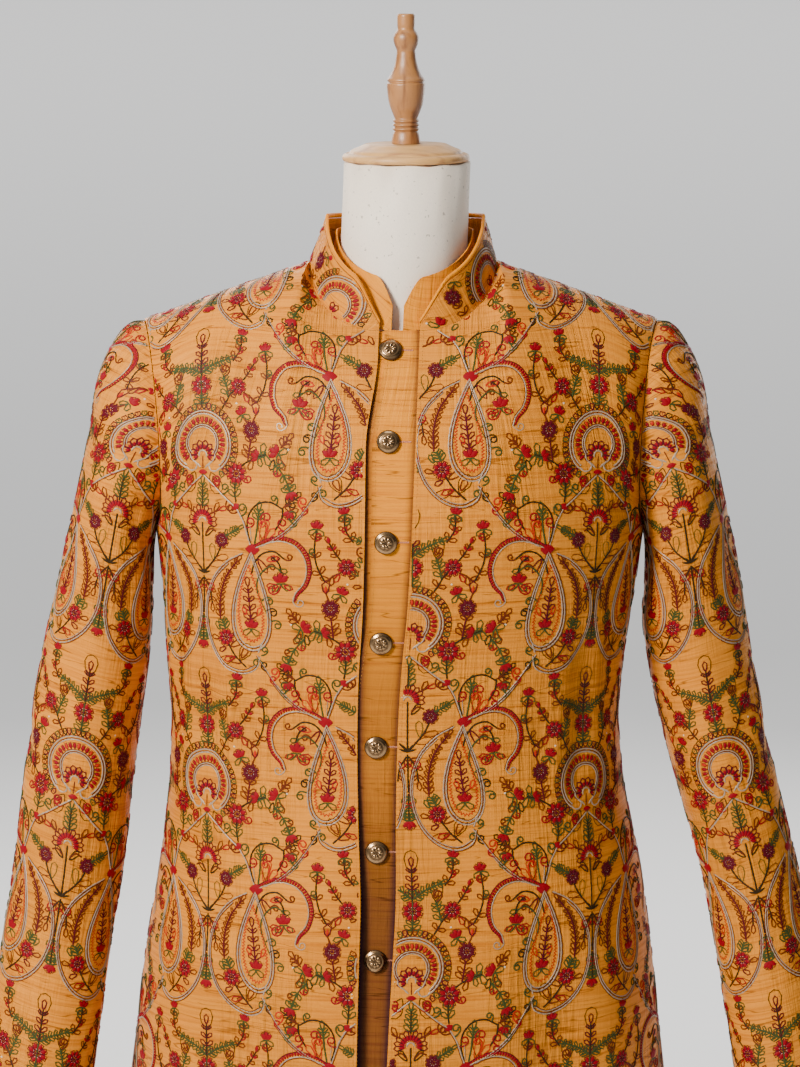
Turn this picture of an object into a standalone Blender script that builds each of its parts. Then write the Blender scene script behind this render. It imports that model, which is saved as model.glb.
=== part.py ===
"""Embroidered sherwani coat, worn open over its own buttoned silk placket, on a limbless dress form.

Metres, +Z up. The coat's front faces -Y, and the wearer's left is +X. The origin is the middle of
the stand's foot. The coat's outer faces are worked out from girths, depths and seam points, and each
cloth wall goes inwards from there.
"""

import math

import bmesh
import bpy
import numpy as np

# Cloth thicknesses and the gap that is left where two pieces are sewn together
CLOTH = 0.0016
PLAIN_SILK = 0.0012
COLLAR_CLOTH = 0.0020
SEAM_GAP = 0.0003

# Seam points of the coat's body, for the +X half
HEM_Z = 0.450
UNDERARM_Z = 1.235
SLIT_TOP_Z = 0.818
SLIT_SPREAD = 0.045  # how much a slit opens for each metre below its top
SHOULDER_X, SHOULDER_Y, SHOULDER_Z = 0.229, 0.0, 1.4175
NECK_X, NECK_Y, NECK_Z = 0.083, -0.010, 1.470
PIT_Y, PIT_Z = -0.084, 1.417
NAPE_Y, NAPE_Z = 0.055, 1.466
PIT_TURN, NAPE_TURN = 50.0, 65.0  # degrees that the cloth turns from the chest up to the neckline
ARMHOLE_DEPTH = 0.0565
ARMHOLE_BOW = 0.011  # how far the armhole seam bows in towards the chest

BODY_COLUMNS = ("z", "half_width", "front", "back", "square", "shift")
BODY_ROWS = (
    (0.450, 0.283, 0.192, 0.186, 2.10, -0.002),
    (0.590, 0.263, 0.172, 0.166, 2.12, -0.002),
    (0.725, 0.246, 0.157, 0.148, 2.15, -0.002),
    (0.850, 0.231, 0.146, 0.134, 2.20, -0.001),
    (0.912, 0.221, 0.140, 0.126, 2.20, 0.000),
    (0.993, 0.208, 0.132, 0.113, 2.18, -0.003),
    (1.062, 0.2035, 0.129, 0.107, 2.18, -0.0045),
    (1.115, 0.207, 0.132, 0.110, 2.22, -0.004),
    (1.177, 0.213, 0.137, 0.115, 2.28, -0.001),
    (1.235, 0.219, 0.140, 0.118, 2.35, 0.000),
)

# Grid of the body panels: columns up to the neck point, then on to the armhole, and rows
NECK_SHARE = 0.30
NECK_COLUMNS, SHOULDER_COLUMNS = 6, 8
SKIRT_ROWS, YOKE_ROWS = 13, 9

# Front edges: the wearer's left one drifts across the middle, the right one stands back
LEFT_EDGE_X, LEFT_EDGE_DRIFT = 0.0165, 0.042
RIGHT_EDGE_X, RIGHT_EDGE_DRIFT = 0.0190, 0.013
RIGHT_EDGE_STEP, RIGHT_EDGE_STEP_LENGTH = 0.0095, 0.08
EDGE_TOP_Z = 1.400
LEFT_LIFT, RIGHT_LIFT = 0.010, 0.005  # how far the front edges stand off the placket below the waist
LIFT_WIDTH, LIFT_TOP_Z, LIFT_LENGTH = 0.30, 1.05, 0.30

# Largest folds of the skirt, in the cloth's own measure: a and b are metres from the middle and up the
# cloth, and each runs for its length at its lean, in degrees from upright. A negative height is a trough.
FOLD_COLUMNS = ("a", "b", "length", "width", "height", "lean")
BACK_FOLDS = (
    (0.175, 0.760, 0.230, 0.030, 0.0050, 5),
    (-0.165, 0.740, 0.250, 0.032, 0.0046, -6),
    (0.070, 0.640, 0.210, 0.028, -0.0038, 3),
    (-0.060, 0.660, 0.230, 0.026, -0.0040, -2),
    (0.240, 0.640, 0.180, 0.022, -0.0035, 8),
    (-0.245, 0.620, 0.190, 0.024, -0.0032, -8),
)
LEFT_FOLDS = (
    (0.095, 0.800, 0.240, 0.026, 0.0040, -4),
    (0.150, 0.720, 0.250, 0.026, -0.0048, -5),
    (0.205, 0.760, 0.230, 0.028, 0.0046, -8),
    (0.255, 0.620, 0.190, 0.022, -0.0036, -10),
)
RIGHT_FOLDS = (
    (0.105, 0.780, 0.230, 0.026, 0.0036, -3),
    (0.160, 0.735, 0.240, 0.024, -0.0044, -6),
    (0.212, 0.740, 0.210, 0.026, 0.0042, -9),
    (0.250, 0.640, 0.200, 0.022, -0.0034, -10),
)

SLEEVE_COLUMNS = ("x_out", "z_out", "x_in", "z_in", "y", "half_depth", "bow")
SLEEVE_TOP_ROWS = (
    (0.2293, 1.4175, 0.2198, 1.235, 0.000, 0.0565, 0.0110),
    (0.2430, 1.4165, 0.2222, 1.226, 0.000, 0.0600, 0.0095),
    (0.2580, 1.3960, 0.2232, 1.214, 0.000, 0.0625, 0.0060),
    (0.2710, 1.3620, 0.2234, 1.200, 0.000, 0.0640, 0.0030),
    (0.2790, 1.3160, 0.2230, 1.184, 0.000, 0.0645, 0.0010),
    (0.2900, 1.2650, 0.2226, 1.165, 0.001, 0.0635, 0.0000),
)
RIGHT_SLEEVE_ROWS = SLEEVE_TOP_ROWS + (
    (0.3040, 1.2050, 0.2226, 1.141, 0.003, 0.0615, 0.0),
    (0.3165, 1.1400, 0.2246, 1.106, 0.005, 0.0585, 0.0),
    (0.3310, 1.0550, 0.2345, 1.036, 0.002, 0.0560, 0.0),
    (0.3435, 0.9750, 0.2460, 0.959, -0.012, 0.0535, 0.0),
    (0.3565, 0.8900, 0.2590, 0.874, -0.034, 0.0500, 0.0),
    (0.3695, 0.8000, 0.2705, 0.784, -0.062, 0.0460, 0.0),
    (0.3765, 0.7470, 0.2775, 0.732, -0.080, 0.0440, 0.0),
)
LEFT_SLEEVE_ROWS = SLEEVE_TOP_ROWS + (
    (0.3045, 1.2050, 0.2228, 1.145, 0.003, 0.0615, 0.0),
    (0.3185, 1.1380, 0.2285, 1.114, 0.005, 0.0585, 0.0),
    (0.3350, 1.0550, 0.2445, 1.040, 0.002, 0.0560, 0.0),
    (0.3515, 0.9750, 0.2645, 0.959, -0.012, 0.0535, 0.0),
    (0.3685, 0.8900, 0.2835, 0.874, -0.034, 0.0500, 0.0),
    (0.3840, 0.8000, 0.2990, 0.784, -0.062, 0.0460, 0.0),
    (0.3920, 0.7470, 0.3070, 0.732, -0.080, 0.0440, 0.0),
)
SLEEVE_RINGS = 20

# Outer collar band: its top line, its height and how its front corners are cut
COLLAR_TOP_X, COLLAR_TOP_FRONT_Y, COLLAR_TOP_BACK_Y = 0.0695, -0.0815, 0.0500
COLLAR_HEIGHT, COLLAR_END_HEIGHT, COLLAR_CORNER = 0.042, 0.010, 0.036
COLLAR_ROWS = 4
BINDING_HEIGHT, BINDING_THICKNESS = 0.0040, 0.0028
NECK_LEAN = 0.0065  # the neck and the collars lean this far to +X on the way up
LEAN_FROM_Z, LEAN_TO_Z = 1.400, 1.550

# Inner collar band of plain silk, which stands against the neck
INNER_X, INNER_FRONT_Y, INNER_BACK_Y = 0.0640, PIT_Y + 0.0021, 0.0475
INNER_TOP_X, INNER_TOP_FRONT_Y, INNER_TOP_BACK_Y = 0.0608, -0.0740, 0.0465
INNER_CENTRE_Y = -0.014
INNER_FRONT_Z, INNER_SIDE_Z = PIT_Z - 0.0009, 1.4685
INNER_FRONT_HEIGHT, INNER_SIDE_HEIGHT, INNER_END_HEIGHT, INNER_CORNER = 0.045, 0.030, 0.022, 0.018
NOTCH_RIGHT_X, NOTCH_LEFT_X = 0.0084, 0.0017
INNER_COLUMNS = 13

# Plain silk placket strips that carry the buttons, behind the front edges
PLACKET_DEPTH, UNDER_PLACKET_DEPTH = 0.0021, 0.0037
PLACKET_SINK, SINK_TOP_Z, SINK_LENGTH = 0.0055, 1.15, 0.30  # the strips hang back from the fronts lower down
PLACKET_HEM_Z = 0.460
PLACKET_ROWS = 20
PLACKET_COLUMNS = 2
BUTTON_HEIGHTS = (1.4008, 1.3259, 1.2401, 1.1504, 1.0557, 0.9614, 0.8645)
BUTTON_X, BUTTON_DRIFT = -0.0083, 0.024
BUTTON_RADIUS, BUTTON_SIDES = 0.0101, 14
BUTTON_PROFILE = ((0.55, 0.0), (0.94, 0.0005), (1.0, 0.0014), (0.94, 0.0026), (0.72, 0.0044), (0.38, 0.0055))
BUTTON_CROWN = 0.0058

# Dress form: padded torso, turned neck cap, finial, pole and foot
FORM_BOTTOM_Z = 0.800
FORM_EASE, FORM_REST = 0.011, 0.0006  # gap to the coat at the chest, and where the shoulders carry it
FORM_NECK_DROP = 0.0085
NECK_RADIUS, NECK_CENTRE_Y, NECK_TOP_Z = 0.0562, -0.014, 1.5587
NECK_FILLET, NECK_RINGS = 0.014, 4
CAP_X, CAP_Z = 0.0053, 1.5590
CAP_PROFILE = (
    (0.0552, 0.0), (0.0560, 0.0025), (0.0553, 0.0058), (0.0520, 0.0075),
    (0.0500, 0.0080), (0.0425, 0.0100), (0.0365, 0.0150),
)
FINIAL_Z = CAP_Z + 0.0153
FINIAL_PROFILE = (
    (0.0127, 0.0), (0.0122, 0.0060), (0.0110, 0.0110), (0.0116, 0.0126), (0.0106, 0.0141),
    (0.0117, 0.0160), (0.0106, 0.0178), (0.0116, 0.0196), (0.0106, 0.0218), (0.0145, 0.0330),
    (0.0163, 0.0420), (0.0169, 0.0525), (0.0160, 0.0543), (0.0163, 0.0560), (0.0120, 0.0630),
    (0.0091, 0.0720), (0.0083, 0.0810), (0.0094, 0.0835), (0.0111, 0.0905), (0.0102, 0.0960),
    (0.0082, 0.0985), (0.0076, 0.1060), (0.0076, 0.1130),
)
POLE_RADIUS = 0.016
FOOT_PROFILE = (
    (0.205, 0.0), (0.210, 0.004), (0.210, 0.016), (0.204, 0.022), (0.160, 0.027), (0.060, 0.031),
    (0.045, 0.036), (0.036, 0.056), (0.030, 0.062),
)
FOOT_HEIGHT = FOOT_PROFILE[-1][1]

FRONT, BACK = -1.0, 1.0
LEFT, RIGHT = 1.0, -1.0


def clear_scene():
    for thing in list(bpy.data.objects):
        bpy.data.objects.remove(thing)


def smooth(xs, ys, x):
    """The value at x of a smooth curve through the points (xs, ys), with xs rising."""
    xs, ys, x = (np.asarray(values, float) for values in (xs, ys, x))
    slope = np.gradient(ys, xs)
    i = np.clip(np.searchsorted(xs, x, side="right") - 1, 0, len(xs) - 2)
    step = xs[i + 1] - xs[i]
    t = np.clip((x - xs[i]) / step, 0.0, 1.0)
    rise = ys[i] * (1 + 2 * t) * (1 - t) ** 2 + ys[i + 1] * t * t * (3 - 2 * t)
    return rise + step * t * (1 - t) * (slope[i] * (1 - t) - slope[i + 1] * t)


def ease(t):
    """From 0 to 1, flat at both ends."""
    t = np.clip(t, 0.0, 1.0)
    return t * t * (3 - 2 * t)


def body_size(name, z):
    """One column of the body table at height z."""
    k = BODY_COLUMNS.index(name)
    return smooth([row[0] for row in BODY_ROWS], [row[k] for row in BODY_ROWS], z)


def edge_x(side, z):
    """How far a front edge lies from the middle, measured towards its own side."""
    down = np.maximum(EDGE_TOP_Z - z, 0.0)
    if side == LEFT:
        return LEFT_EDGE_X - LEFT_EDGE_DRIFT * down
    step = RIGHT_EDGE_STEP * ease((EDGE_TOP_Z - z) / RIGHT_EDGE_STEP_LENGTH)
    return RIGHT_EDGE_X + step + RIGHT_EDGE_DRIFT * down


def ring_y(x, z, face):
    """Depth of the body's outer face below the underarm."""
    depth = body_size("front" if face == FRONT else "back", z)
    share = np.clip(np.abs(x) / body_size("half_width", z), 0.0, 1.0)
    square = body_size("square", z)
    return face * depth * (1 - share**square) ** (1 / square)


def armhole(angle, face):
    """Armhole seam, from the underarm at angle 0 up to the shoulder point at pi."""
    up = (1 - np.cos(angle)) / 2
    half_width = body_size("half_width", UNDERARM_Z)
    x = half_width + (SHOULDER_X - half_width) * up - ARMHOLE_BOW * np.sin(angle)
    z = UNDERARM_Z + (SHOULDER_Z - UNDERARM_Z) * up
    return np.stack([x, face * ARMHOLE_DEPTH * np.sin(angle), z], -1)


def top_line(u, face, edge):
    """Neckline from the middle or front edge to the neck point, then the shoulder seam."""
    turn = np.clip(u / NECK_SHARE, 0.0, 1.0) * math.pi / 2
    low_y, low_z = (PIT_Y, PIT_Z) if face == FRONT else (NAPE_Y, NAPE_Z)
    out = np.clip((u - NECK_SHARE) / (1 - NECK_SHARE), 0.0, 1.0)
    x = edge + (NECK_X - edge) * np.sin(turn) + (SHOULDER_X - NECK_X) * out
    y = NECK_Y + (low_y - NECK_Y) * np.cos(turn) + (SHOULDER_Y - NECK_Y) * out
    z = NECK_Z + (low_z - NECK_Z) * np.cos(turn) + (SHOULDER_Z - NECK_Z) * out
    return x, y, z


def body_point(u, w, face, side=None):
    """A point of the body's outer face, for the +X half and without the sideways shift.

    u goes from the front edge, or the middle, at 0 to the side seam and armhole at 1. w goes from the
    hem at 0 through the underarm at 1 to the neckline and shoulder seam at 2. side says whose front
    edge it is, or None for a panel that starts on the middle line.
    """
    u, w = np.broadcast_arrays(np.asarray(u, float), np.asarray(w, float))
    z_low = HEM_Z + (UNDERARM_Z - HEM_Z) * np.minimum(w, 1.0)
    v = np.maximum(w - 1.0, 0.0)
    edge_low = 0.0 if side is None else edge_x(side, z_low)
    edge_top = 0.0 if side is None else edge_x(side, PIT_Z)
    half_width = body_size("half_width", z_low)
    x_low = edge_low + (half_width - edge_low) * np.sin(u * math.pi / 2)
    y_low = ring_y(x_low, z_low, face)
    x_top, y_top, z_top = top_line(u, face, edge_top)
    start = PIT_TURN if face == FRONT else NAPE_TURN
    turn = np.radians(start + (90 - start) * np.clip(u / NECK_SHARE, 0.0, 1.0))
    rise = np.sin(v * turn) / np.sin(turn)
    lean = (1 - np.cos(v * turn)) / (1 - np.cos(turn))
    point = np.stack(
        [x_low + (x_top - x_low) * v, y_low + (y_top - y_low) * lean, z_low + (z_top - z_low) * rise], -1
    )
    side_x = half_width + (SHOULDER_X - half_width) * v
    side_z = UNDERARM_Z + (SHOULDER_Z - UNDERARM_Z) * np.sin(v * math.pi / 2)
    side_line = np.stack([side_x, 0 * v, side_z], -1)
    pull = (ease((u - 0.45) / 0.55) * (w > 1.0))[..., None]
    point = point + pull * (armhole(v * math.pi, face) - side_line)
    if side is not None:
        plain_edge = edge_low + (edge_top - edge_low) * v
        point[..., 0] += (1 - u) ** 2 * (edge_x(side, point[..., 2]) - plain_edge) * (w > 1.0)
    if side is not None:
        lift = LEFT_LIFT if side == LEFT else RIGHT_LIFT
        lift = lift * ease((LIFT_TOP_Z - point[..., 2]) / LIFT_LENGTH)
        point[..., 1] -= lift * (1 - ease(u / LIFT_WIDTH))
    return point


def leaned(points):
    """Points with the neck's lean to +X."""
    points = np.array(points, float)
    share = np.clip((points[..., 2] - LEAN_FROM_Z) / (LEAN_TO_Z - LEAN_FROM_Z), 0.0, 1.0)
    points[..., 0] += NECK_LEAN * share
    return points


def placed(points, side):
    """Points of the +X half on their own side, with the body's sideways shift and lean."""
    moved = leaned(points)
    lean = moved[..., 0] - points[..., 0]
    moved[..., 0] = side * points[..., 0] + lean + body_size("shift", np.minimum(points[..., 2], UNDERARM_Z))
    return moved


def grown(grid, axis):
    """The grid with one more line beyond each end of an axis, on the curve that it already follows."""
    lines = np.moveaxis(grid, axis, 0)
    before = 3 * lines[0] - 3 * lines[1] + lines[2]
    after = 3 * lines[-1] - 3 * lines[-2] + lines[-3]
    return np.moveaxis(np.concatenate([before[None], lines, after[None]]), 0, axis)


def normals_of(grid, closed=False):
    """Unit normals of a grid of points, rows first. closed says that the last column meets the first."""
    if closed:
        wide = np.concatenate([grid[:, -1:], grid, grid[:, :1]], 1)
    else:
        wide = grown(grid, 1)
    across = wide[:, 2:] - wide[:, :-2]
    tall = grown(grid, 0)
    along = tall[2:] - tall[:-2]
    normal = np.cross(across, along)
    return normal / np.linalg.norm(normal, axis=-1, keepdims=True)


def drawn_in(grid, bottom=0.0, top=0.0, first=0.0, last=0.0):
    """The grid with each border moved towards its neighbouring line by a length or a list of lengths."""
    grid = grid.copy()
    for line, inner, length in ((grid[0], grid[1], bottom), (grid[-1], grid[-2], top),
                                (grid[:, 0], grid[:, 1], first), (grid[:, -1], grid[:, -2], last)):
        step = inner - line
        step = step / np.linalg.norm(step, axis=-1, keepdims=True)
        line += step * np.broadcast_to(np.asarray(length, float), line.shape[:1])[:, None]
    return grid


def run_of(grid, axis):
    """Length along each line of a grid, from its start."""
    steps = np.linalg.norm(np.diff(grid, axis=axis), axis=-1)
    pad = [(0, 0), (0, 0)]
    pad[axis] = (1, 0)
    return np.pad(np.cumsum(steps, axis=axis), pad)


def folded(grid, normals, a, b, folds):
    """The grid with soft folds laid on it, each a long ridge or trough."""
    rise = np.zeros(a.shape)
    for row in folds:
        fold = dict(zip(FOLD_COLUMNS, row))
        lean = math.radians(fold["lean"])
        along = (a - fold["a"]) * math.sin(lean) + (b - fold["b"]) * math.cos(lean)
        across = (a - fold["a"]) * math.cos(lean) - (b - fold["b"]) * math.sin(lean)
        across = across + 0.12 * along**2 / fold["length"]
        fade = (across / fold["width"]) ** 2 + (along / (0.55 * fold["length"])) ** 4
        rise += fold["height"] * np.exp(-fade)
    return grid + normals * rise[..., None]


def add_object(name, points, faces, material, shade_angle=40.0):
    """A closed mesh object with its faces pointing out."""
    mesh = bpy.data.meshes.new(name)
    mesh.from_pydata([tuple(p) for p in points], [], faces)
    body = bmesh.new()
    body.from_mesh(mesh)
    bmesh.ops.remove_doubles(body, verts=body.verts, dist=0.00001)
    bmesh.ops.recalc_face_normals(body, faces=body.faces)
    body.to_mesh(mesh)
    body.free()
    mesh.materials.append(material)
    mesh.shade_smooth()
    mesh.set_sharp_from_angle(angle=math.radians(shade_angle))
    made = bpy.data.objects.new(name, mesh)
    bpy.context.scene.collection.objects.link(made)
    return made


def wall(name, grid, normals, thickness, material, closed=False):
    """Cloth: the grid is its outer face, and the inner face lies against the normals by its thickness."""
    rows, columns = grid.shape[:2]
    inner = grid - normals * thickness
    points = np.concatenate([grid.reshape(-1, 3), inner.reshape(-1, 3)])
    under = rows * columns
    spans = columns if closed else columns - 1
    faces = []
    for r in range(rows - 1):
        for c in range(spans):
            d = (c + 1) % columns
            quad = (r * columns + c, r * columns + d, (r + 1) * columns + d, (r + 1) * columns + c)
            faces.append(quad)
            faces.append(tuple(under + k for k in reversed(quad)))
    rims = [[r * columns + c for c in range(columns)] for r in (0, rows - 1)]
    rims = [rim + rim[:1] if closed else rim for rim in rims]
    if not closed:
        rims += [[r * columns + c for r in range(rows)] for c in (0, columns - 1)]
    for rim in rims:
        faces += [(a, b, under + b, under + a) for a, b in zip(rim, rim[1:])]
    return add_object(name, points, faces, material)


def turned(name, profile, sides, centre, material, crown=None):
    """A turned solid: profile rows are radius and height, and crown is the height of a rounded top."""
    angle = np.arange(sides) * 2 * math.pi / sides
    points = [
        (centre[0] + r * math.cos(a), centre[1] + r * math.sin(a), centre[2] + h)
        for r, h in profile
        for a in angle
    ]
    faces = []
    for k in range(len(profile) - 1):
        for s in range(sides):
            t = (s + 1) % sides
            faces.append((k * sides + s, k * sides + t, (k + 1) * sides + t, (k + 1) * sides + s))
    faces.append(tuple(range(sides)))
    last = (len(profile) - 1) * sides
    if crown is None:
        faces.append(tuple(last + s for s in range(sides)))
    else:
        points.append((centre[0], centre[1], centre[2] + crown))
        faces += [(last + s, last + (s + 1) % sides, len(points) - 1) for s in range(sides)]
    return add_object(name, points, faces, material, 30.0)


def finish(name, colour, roughness, metallic=0.0):
    """A plain material in the photo's colour."""
    material = bpy.data.materials.new(name)
    material.use_nodes = True
    shader = material.node_tree.nodes["Principled BSDF"]
    shader.inputs["Base Color"].default_value = (*colour, 1.0)
    shader.inputs["Roughness"].default_value = roughness
    shader.inputs["Metallic"].default_value = metallic
    return material


def panel_columns():
    neck = np.linspace(0, NECK_SHARE, NECK_COLUMNS + 1)
    shoulder = np.linspace(NECK_SHARE, 1, SHOULDER_COLUMNS + 1)
    return np.concatenate([neck, shoulder[1:]])


def panel_rows():
    return np.concatenate([np.linspace(0, 1, SKIRT_ROWS + 1), np.linspace(1, 2, YOKE_ROWS + 1)[1:]])


def slit_gap(z):
    """Half the gap between front and back along the side: sewn above the slit, open below it."""
    return SEAM_GAP / 2 + np.maximum(SLIT_TOP_Z - z, 0.0) * SLIT_SPREAD / 2


def make_front(side, silk):
    """One front, from its edge to the side seam, armhole, shoulder seam and neckline."""
    points = body_point(panel_columns()[None, :], panel_rows()[:, None], FRONT, side)
    grid = placed(points, side)
    a = run_of(grid, 1) + points[:, :1, 0]
    folds = LEFT_FOLDS if side == LEFT else RIGHT_FOLDS
    grid = folded(grid, normals_of(grid) * side, a, height_up(grid), folds)
    normals = normals_of(grid) * side
    sewn = np.where(panel_rows() <= 1.0, slit_gap(grid[:, -1, 2]), SEAM_GAP / 2)
    shoulder = np.where(panel_columns() >= NECK_SHARE - 1e-6, SEAM_GAP / 2, 0.0)
    grid = drawn_in(grid, top=shoulder, last=sewn)
    wall("front_left" if side == LEFT else "front_right", grid, normals, CLOTH, silk)


def make_back(silk):
    """The back, in one piece from side seam to side seam."""
    u = panel_columns()
    half = body_point(u[None, :], panel_rows()[:, None], BACK)
    grid = np.concatenate([placed(half[:, :0:-1], RIGHT), placed(half, LEFT)], 1)
    run = run_of(grid, 1)
    a = run - run[:, [len(u) - 1]]
    grid = folded(grid, -normals_of(grid), a, height_up(grid), BACK_FOLDS)
    normals = -normals_of(grid)
    across = np.concatenate([u[:0:-1], u])
    sewn = np.where(panel_rows() <= 1.0, slit_gap(grid[:, -1, 2]), SEAM_GAP / 2)
    shoulder = np.where(across >= NECK_SHARE - 1e-6, SEAM_GAP / 2, 0.0)
    grid = drawn_in(grid, top=shoulder, first=sewn, last=sewn)
    wall("back", grid, normals, CLOTH, silk)


def height_up(grid):
    """Measure up the cloth of a body panel, which equals the real height at the underarm."""
    up = run_of(grid, 0)
    return UNDERARM_Z + up - up[SKIRT_ROWS]


def sleeve_grid(rows, rings):
    """Rings of a sleeve for the +X side, from the armhole to the cuff."""
    at = np.linspace(0, len(rows) - 1, rings)
    size = {
        name: smooth(range(len(rows)), [row[k] for row in rows], at)[:, None]
        for k, name in enumerate(SLEEVE_COLUMNS)
    }
    half_turn = np.linspace(0, math.pi, YOKE_ROWS + 1)
    angle = np.concatenate([half_turn, half_turn[-2:0:-1]])[None, :]
    face = np.concatenate([np.full(YOKE_ROWS + 1, FRONT), np.full(YOKE_ROWS - 1, BACK)])[None, :]
    up = (1 - np.cos(angle)) / 2
    x = size["x_in"] + (size["x_out"] - size["x_in"]) * up - size["bow"] * np.sin(angle)
    y = size["y"] + face * size["half_depth"] * np.sin(angle)
    z = size["z_in"] + (size["z_out"] - size["z_in"]) * up
    return np.stack(np.broadcast_arrays(x, y, z), -1)


def make_sleeve(name, rows, side, silk):
    grid = drawn_in(placed(sleeve_grid(rows, SLEEVE_RINGS), side), bottom=SEAM_GAP / 2)
    normals = normals_of(grid, closed=True)
    outwards = grid[8] - grid[8].mean(0)
    if (normals[8] * outwards).sum() < 0:
        normals = -normals
    wall(name, grid, normals, CLOTH, silk, closed=True)


def neck_angles():
    """Angles of the neckline's points from the middle of the front round to the middle of the back."""
    quarter = np.linspace(0, math.pi / 2, NECK_COLUMNS + 1)
    return np.concatenate([quarter, math.pi / 2 + quarter[1:]])


def collar_half(side):
    """Base line, top line and heights of the outer collar on one side, from the front end to the nape."""
    angle = neck_angles()
    edge = np.where(angle < math.pi / 2, edge_x(side, PIT_Z), 0.0)
    cosine, sine = np.cos(angle), np.sin(angle)
    low_y = np.where(cosine > 0, PIT_Y, NAPE_Y)
    low_z = np.where(cosine > 0, PIT_Z, NAPE_Z)
    top_y = np.where(cosine > 0, COLLAR_TOP_FRONT_Y, COLLAR_TOP_BACK_Y)
    base = np.stack(
        [
            side * (edge + (NECK_X - edge) * sine),
            NECK_Y + (low_y - NECK_Y) * np.abs(cosine),
            NECK_Z + (low_z - NECK_Z) * np.abs(cosine) + SEAM_GAP,
        ],
        -1,
    )
    top_x = side * (edge * 0.9 + (COLLAR_TOP_X - edge * 0.9) * sine)
    top = np.stack([top_x, NECK_Y + (top_y - NECK_Y) * np.abs(cosine), base[:, 2]], -1)
    along = np.concatenate([[0], np.cumsum(np.linalg.norm(np.diff(base, axis=0), axis=1))])
    corner = np.sin(np.clip(along / COLLAR_CORNER, 0, 1) * math.pi / 2)
    height = COLLAR_END_HEIGHT + (COLLAR_HEIGHT - COLLAR_END_HEIGHT) * corner
    top[:, 2] += COLLAR_HEIGHT
    share = (height / COLLAR_HEIGHT)[:, None]
    return base, base + (top - base) * share


def whole_round(half):
    """A line round the neck, from the wearer's right front end over the nape to the left one."""
    right, left = half(RIGHT), half(LEFT)
    return [np.concatenate([r, l[-2::-1]]) for r, l in zip(right, left)]


def make_collar(silk, plain):
    """Outer collar, and the plain binding round its top edge and front ends."""
    base, top = whole_round(collar_half)
    share = np.linspace(0, 1, COLLAR_ROWS + 1)[:, None, None]
    length = np.linalg.norm(top - base, axis=-1, keepdims=True)
    body_top = top - (top - base) / length * (BINDING_HEIGHT + 2 * SEAM_GAP)
    grid = leaned(base[None] + (body_top - base)[None] * share)
    normals = outward(normals_of(grid))
    wall("collar", grid, normals, COLLAR_CLOTH, silk)
    edge = leaned(base[None] + (top - base)[None] * np.array([0.0, 1.0])[:, None, None])[1]
    body_edge = grid[-1]
    up = (edge - body_edge) / np.linalg.norm(edge - body_edge, axis=-1, keepdims=True)
    centre = edge - up * BINDING_HEIGHT / 2 - normals[-1] * COLLAR_CLOTH / 2
    strip("collar_binding", centre, up, normals[-1], BINDING_HEIGHT / 2, BINDING_THICKNESS / 2, plain)


def outward(normals):
    """Normals of a band round the neck, pointing away from the neck."""
    middle = normals.shape[1] // 2
    return normals if normals[0, middle, 1] > 0 else -normals


def strip(name, centre, up, out, half_height, half_thickness, material):
    """A rounded strip along a line, six-sided in section."""
    section = [(-1.0, -0.6), (-1.0, 0.6), (0.35, 1.0), (1.0, 0.45), (1.0, -0.45), (0.35, -1.0)]
    sides = len(section)
    tall, deep = up * half_height, out * half_thickness
    points = np.concatenate([[c + t * a + d * b for a, b in section] for c, t, d in zip(centre, tall, deep)])
    faces = []
    for k in range(len(centre) - 1):
        for s in range(sides):
            t = (s + 1) % sides
            faces.append((k * sides + s, k * sides + t, (k + 1) * sides + t, (k + 1) * sides + s))
    faces.append(tuple(range(sides)))
    faces.append(tuple(len(points) - sides + s for s in range(sides)))
    return add_object(name, points, faces, material)


def inner_collar_half(side):
    """Base line and top line of the inner collar on one side, from its front end to the nape."""
    notch = NOTCH_LEFT_X if side == LEFT else NOTCH_RIGHT_X
    start = math.asin(notch / INNER_X)
    angle = np.linspace(start, math.pi, INNER_COLUMNS + 1)
    sine, cosine = np.sin(angle), np.cos(angle)
    low_y = np.where(cosine > 0, INNER_FRONT_Y, INNER_BACK_Y)
    top_y = np.where(cosine > 0, INNER_TOP_FRONT_Y, INNER_TOP_BACK_Y)
    dip = np.clip(cosine, 0.0, 1.0)
    base = np.stack(
        [
            side * INNER_X * sine,
            INNER_CENTRE_Y + (low_y - INNER_CENTRE_Y) * np.abs(cosine),
            INNER_SIDE_Z + (INNER_FRONT_Z - INNER_SIDE_Z) * dip,
        ],
        -1,
    )
    along = np.concatenate([[0], np.cumsum(np.linalg.norm(np.diff(base, axis=0), axis=1))])
    full = INNER_SIDE_HEIGHT + (INNER_FRONT_HEIGHT - INNER_SIDE_HEIGHT) * dip
    corner = np.sin(np.clip(along / INNER_CORNER, 0, 1) * math.pi / 2)
    height = INNER_END_HEIGHT + (full - INNER_END_HEIGHT) * corner
    top = np.stack(
        [
            side * INNER_TOP_X * sine,
            INNER_CENTRE_Y + (top_y - INNER_CENTRE_Y) * np.abs(cosine),
            base[:, 2] + full,
        ],
        -1,
    )
    return base, base + (top - base) * (height / full)[:, None]


def make_inner_collar(plain):
    base, top = whole_round(inner_collar_half)
    share = np.linspace(0, 1, COLLAR_ROWS + 1)[:, None, None]
    grid = leaned(base[None] + (top - base)[None] * share)
    wall("inner_collar", grid, outward(normals_of(grid)), PLAIN_SILK, plain)


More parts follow.
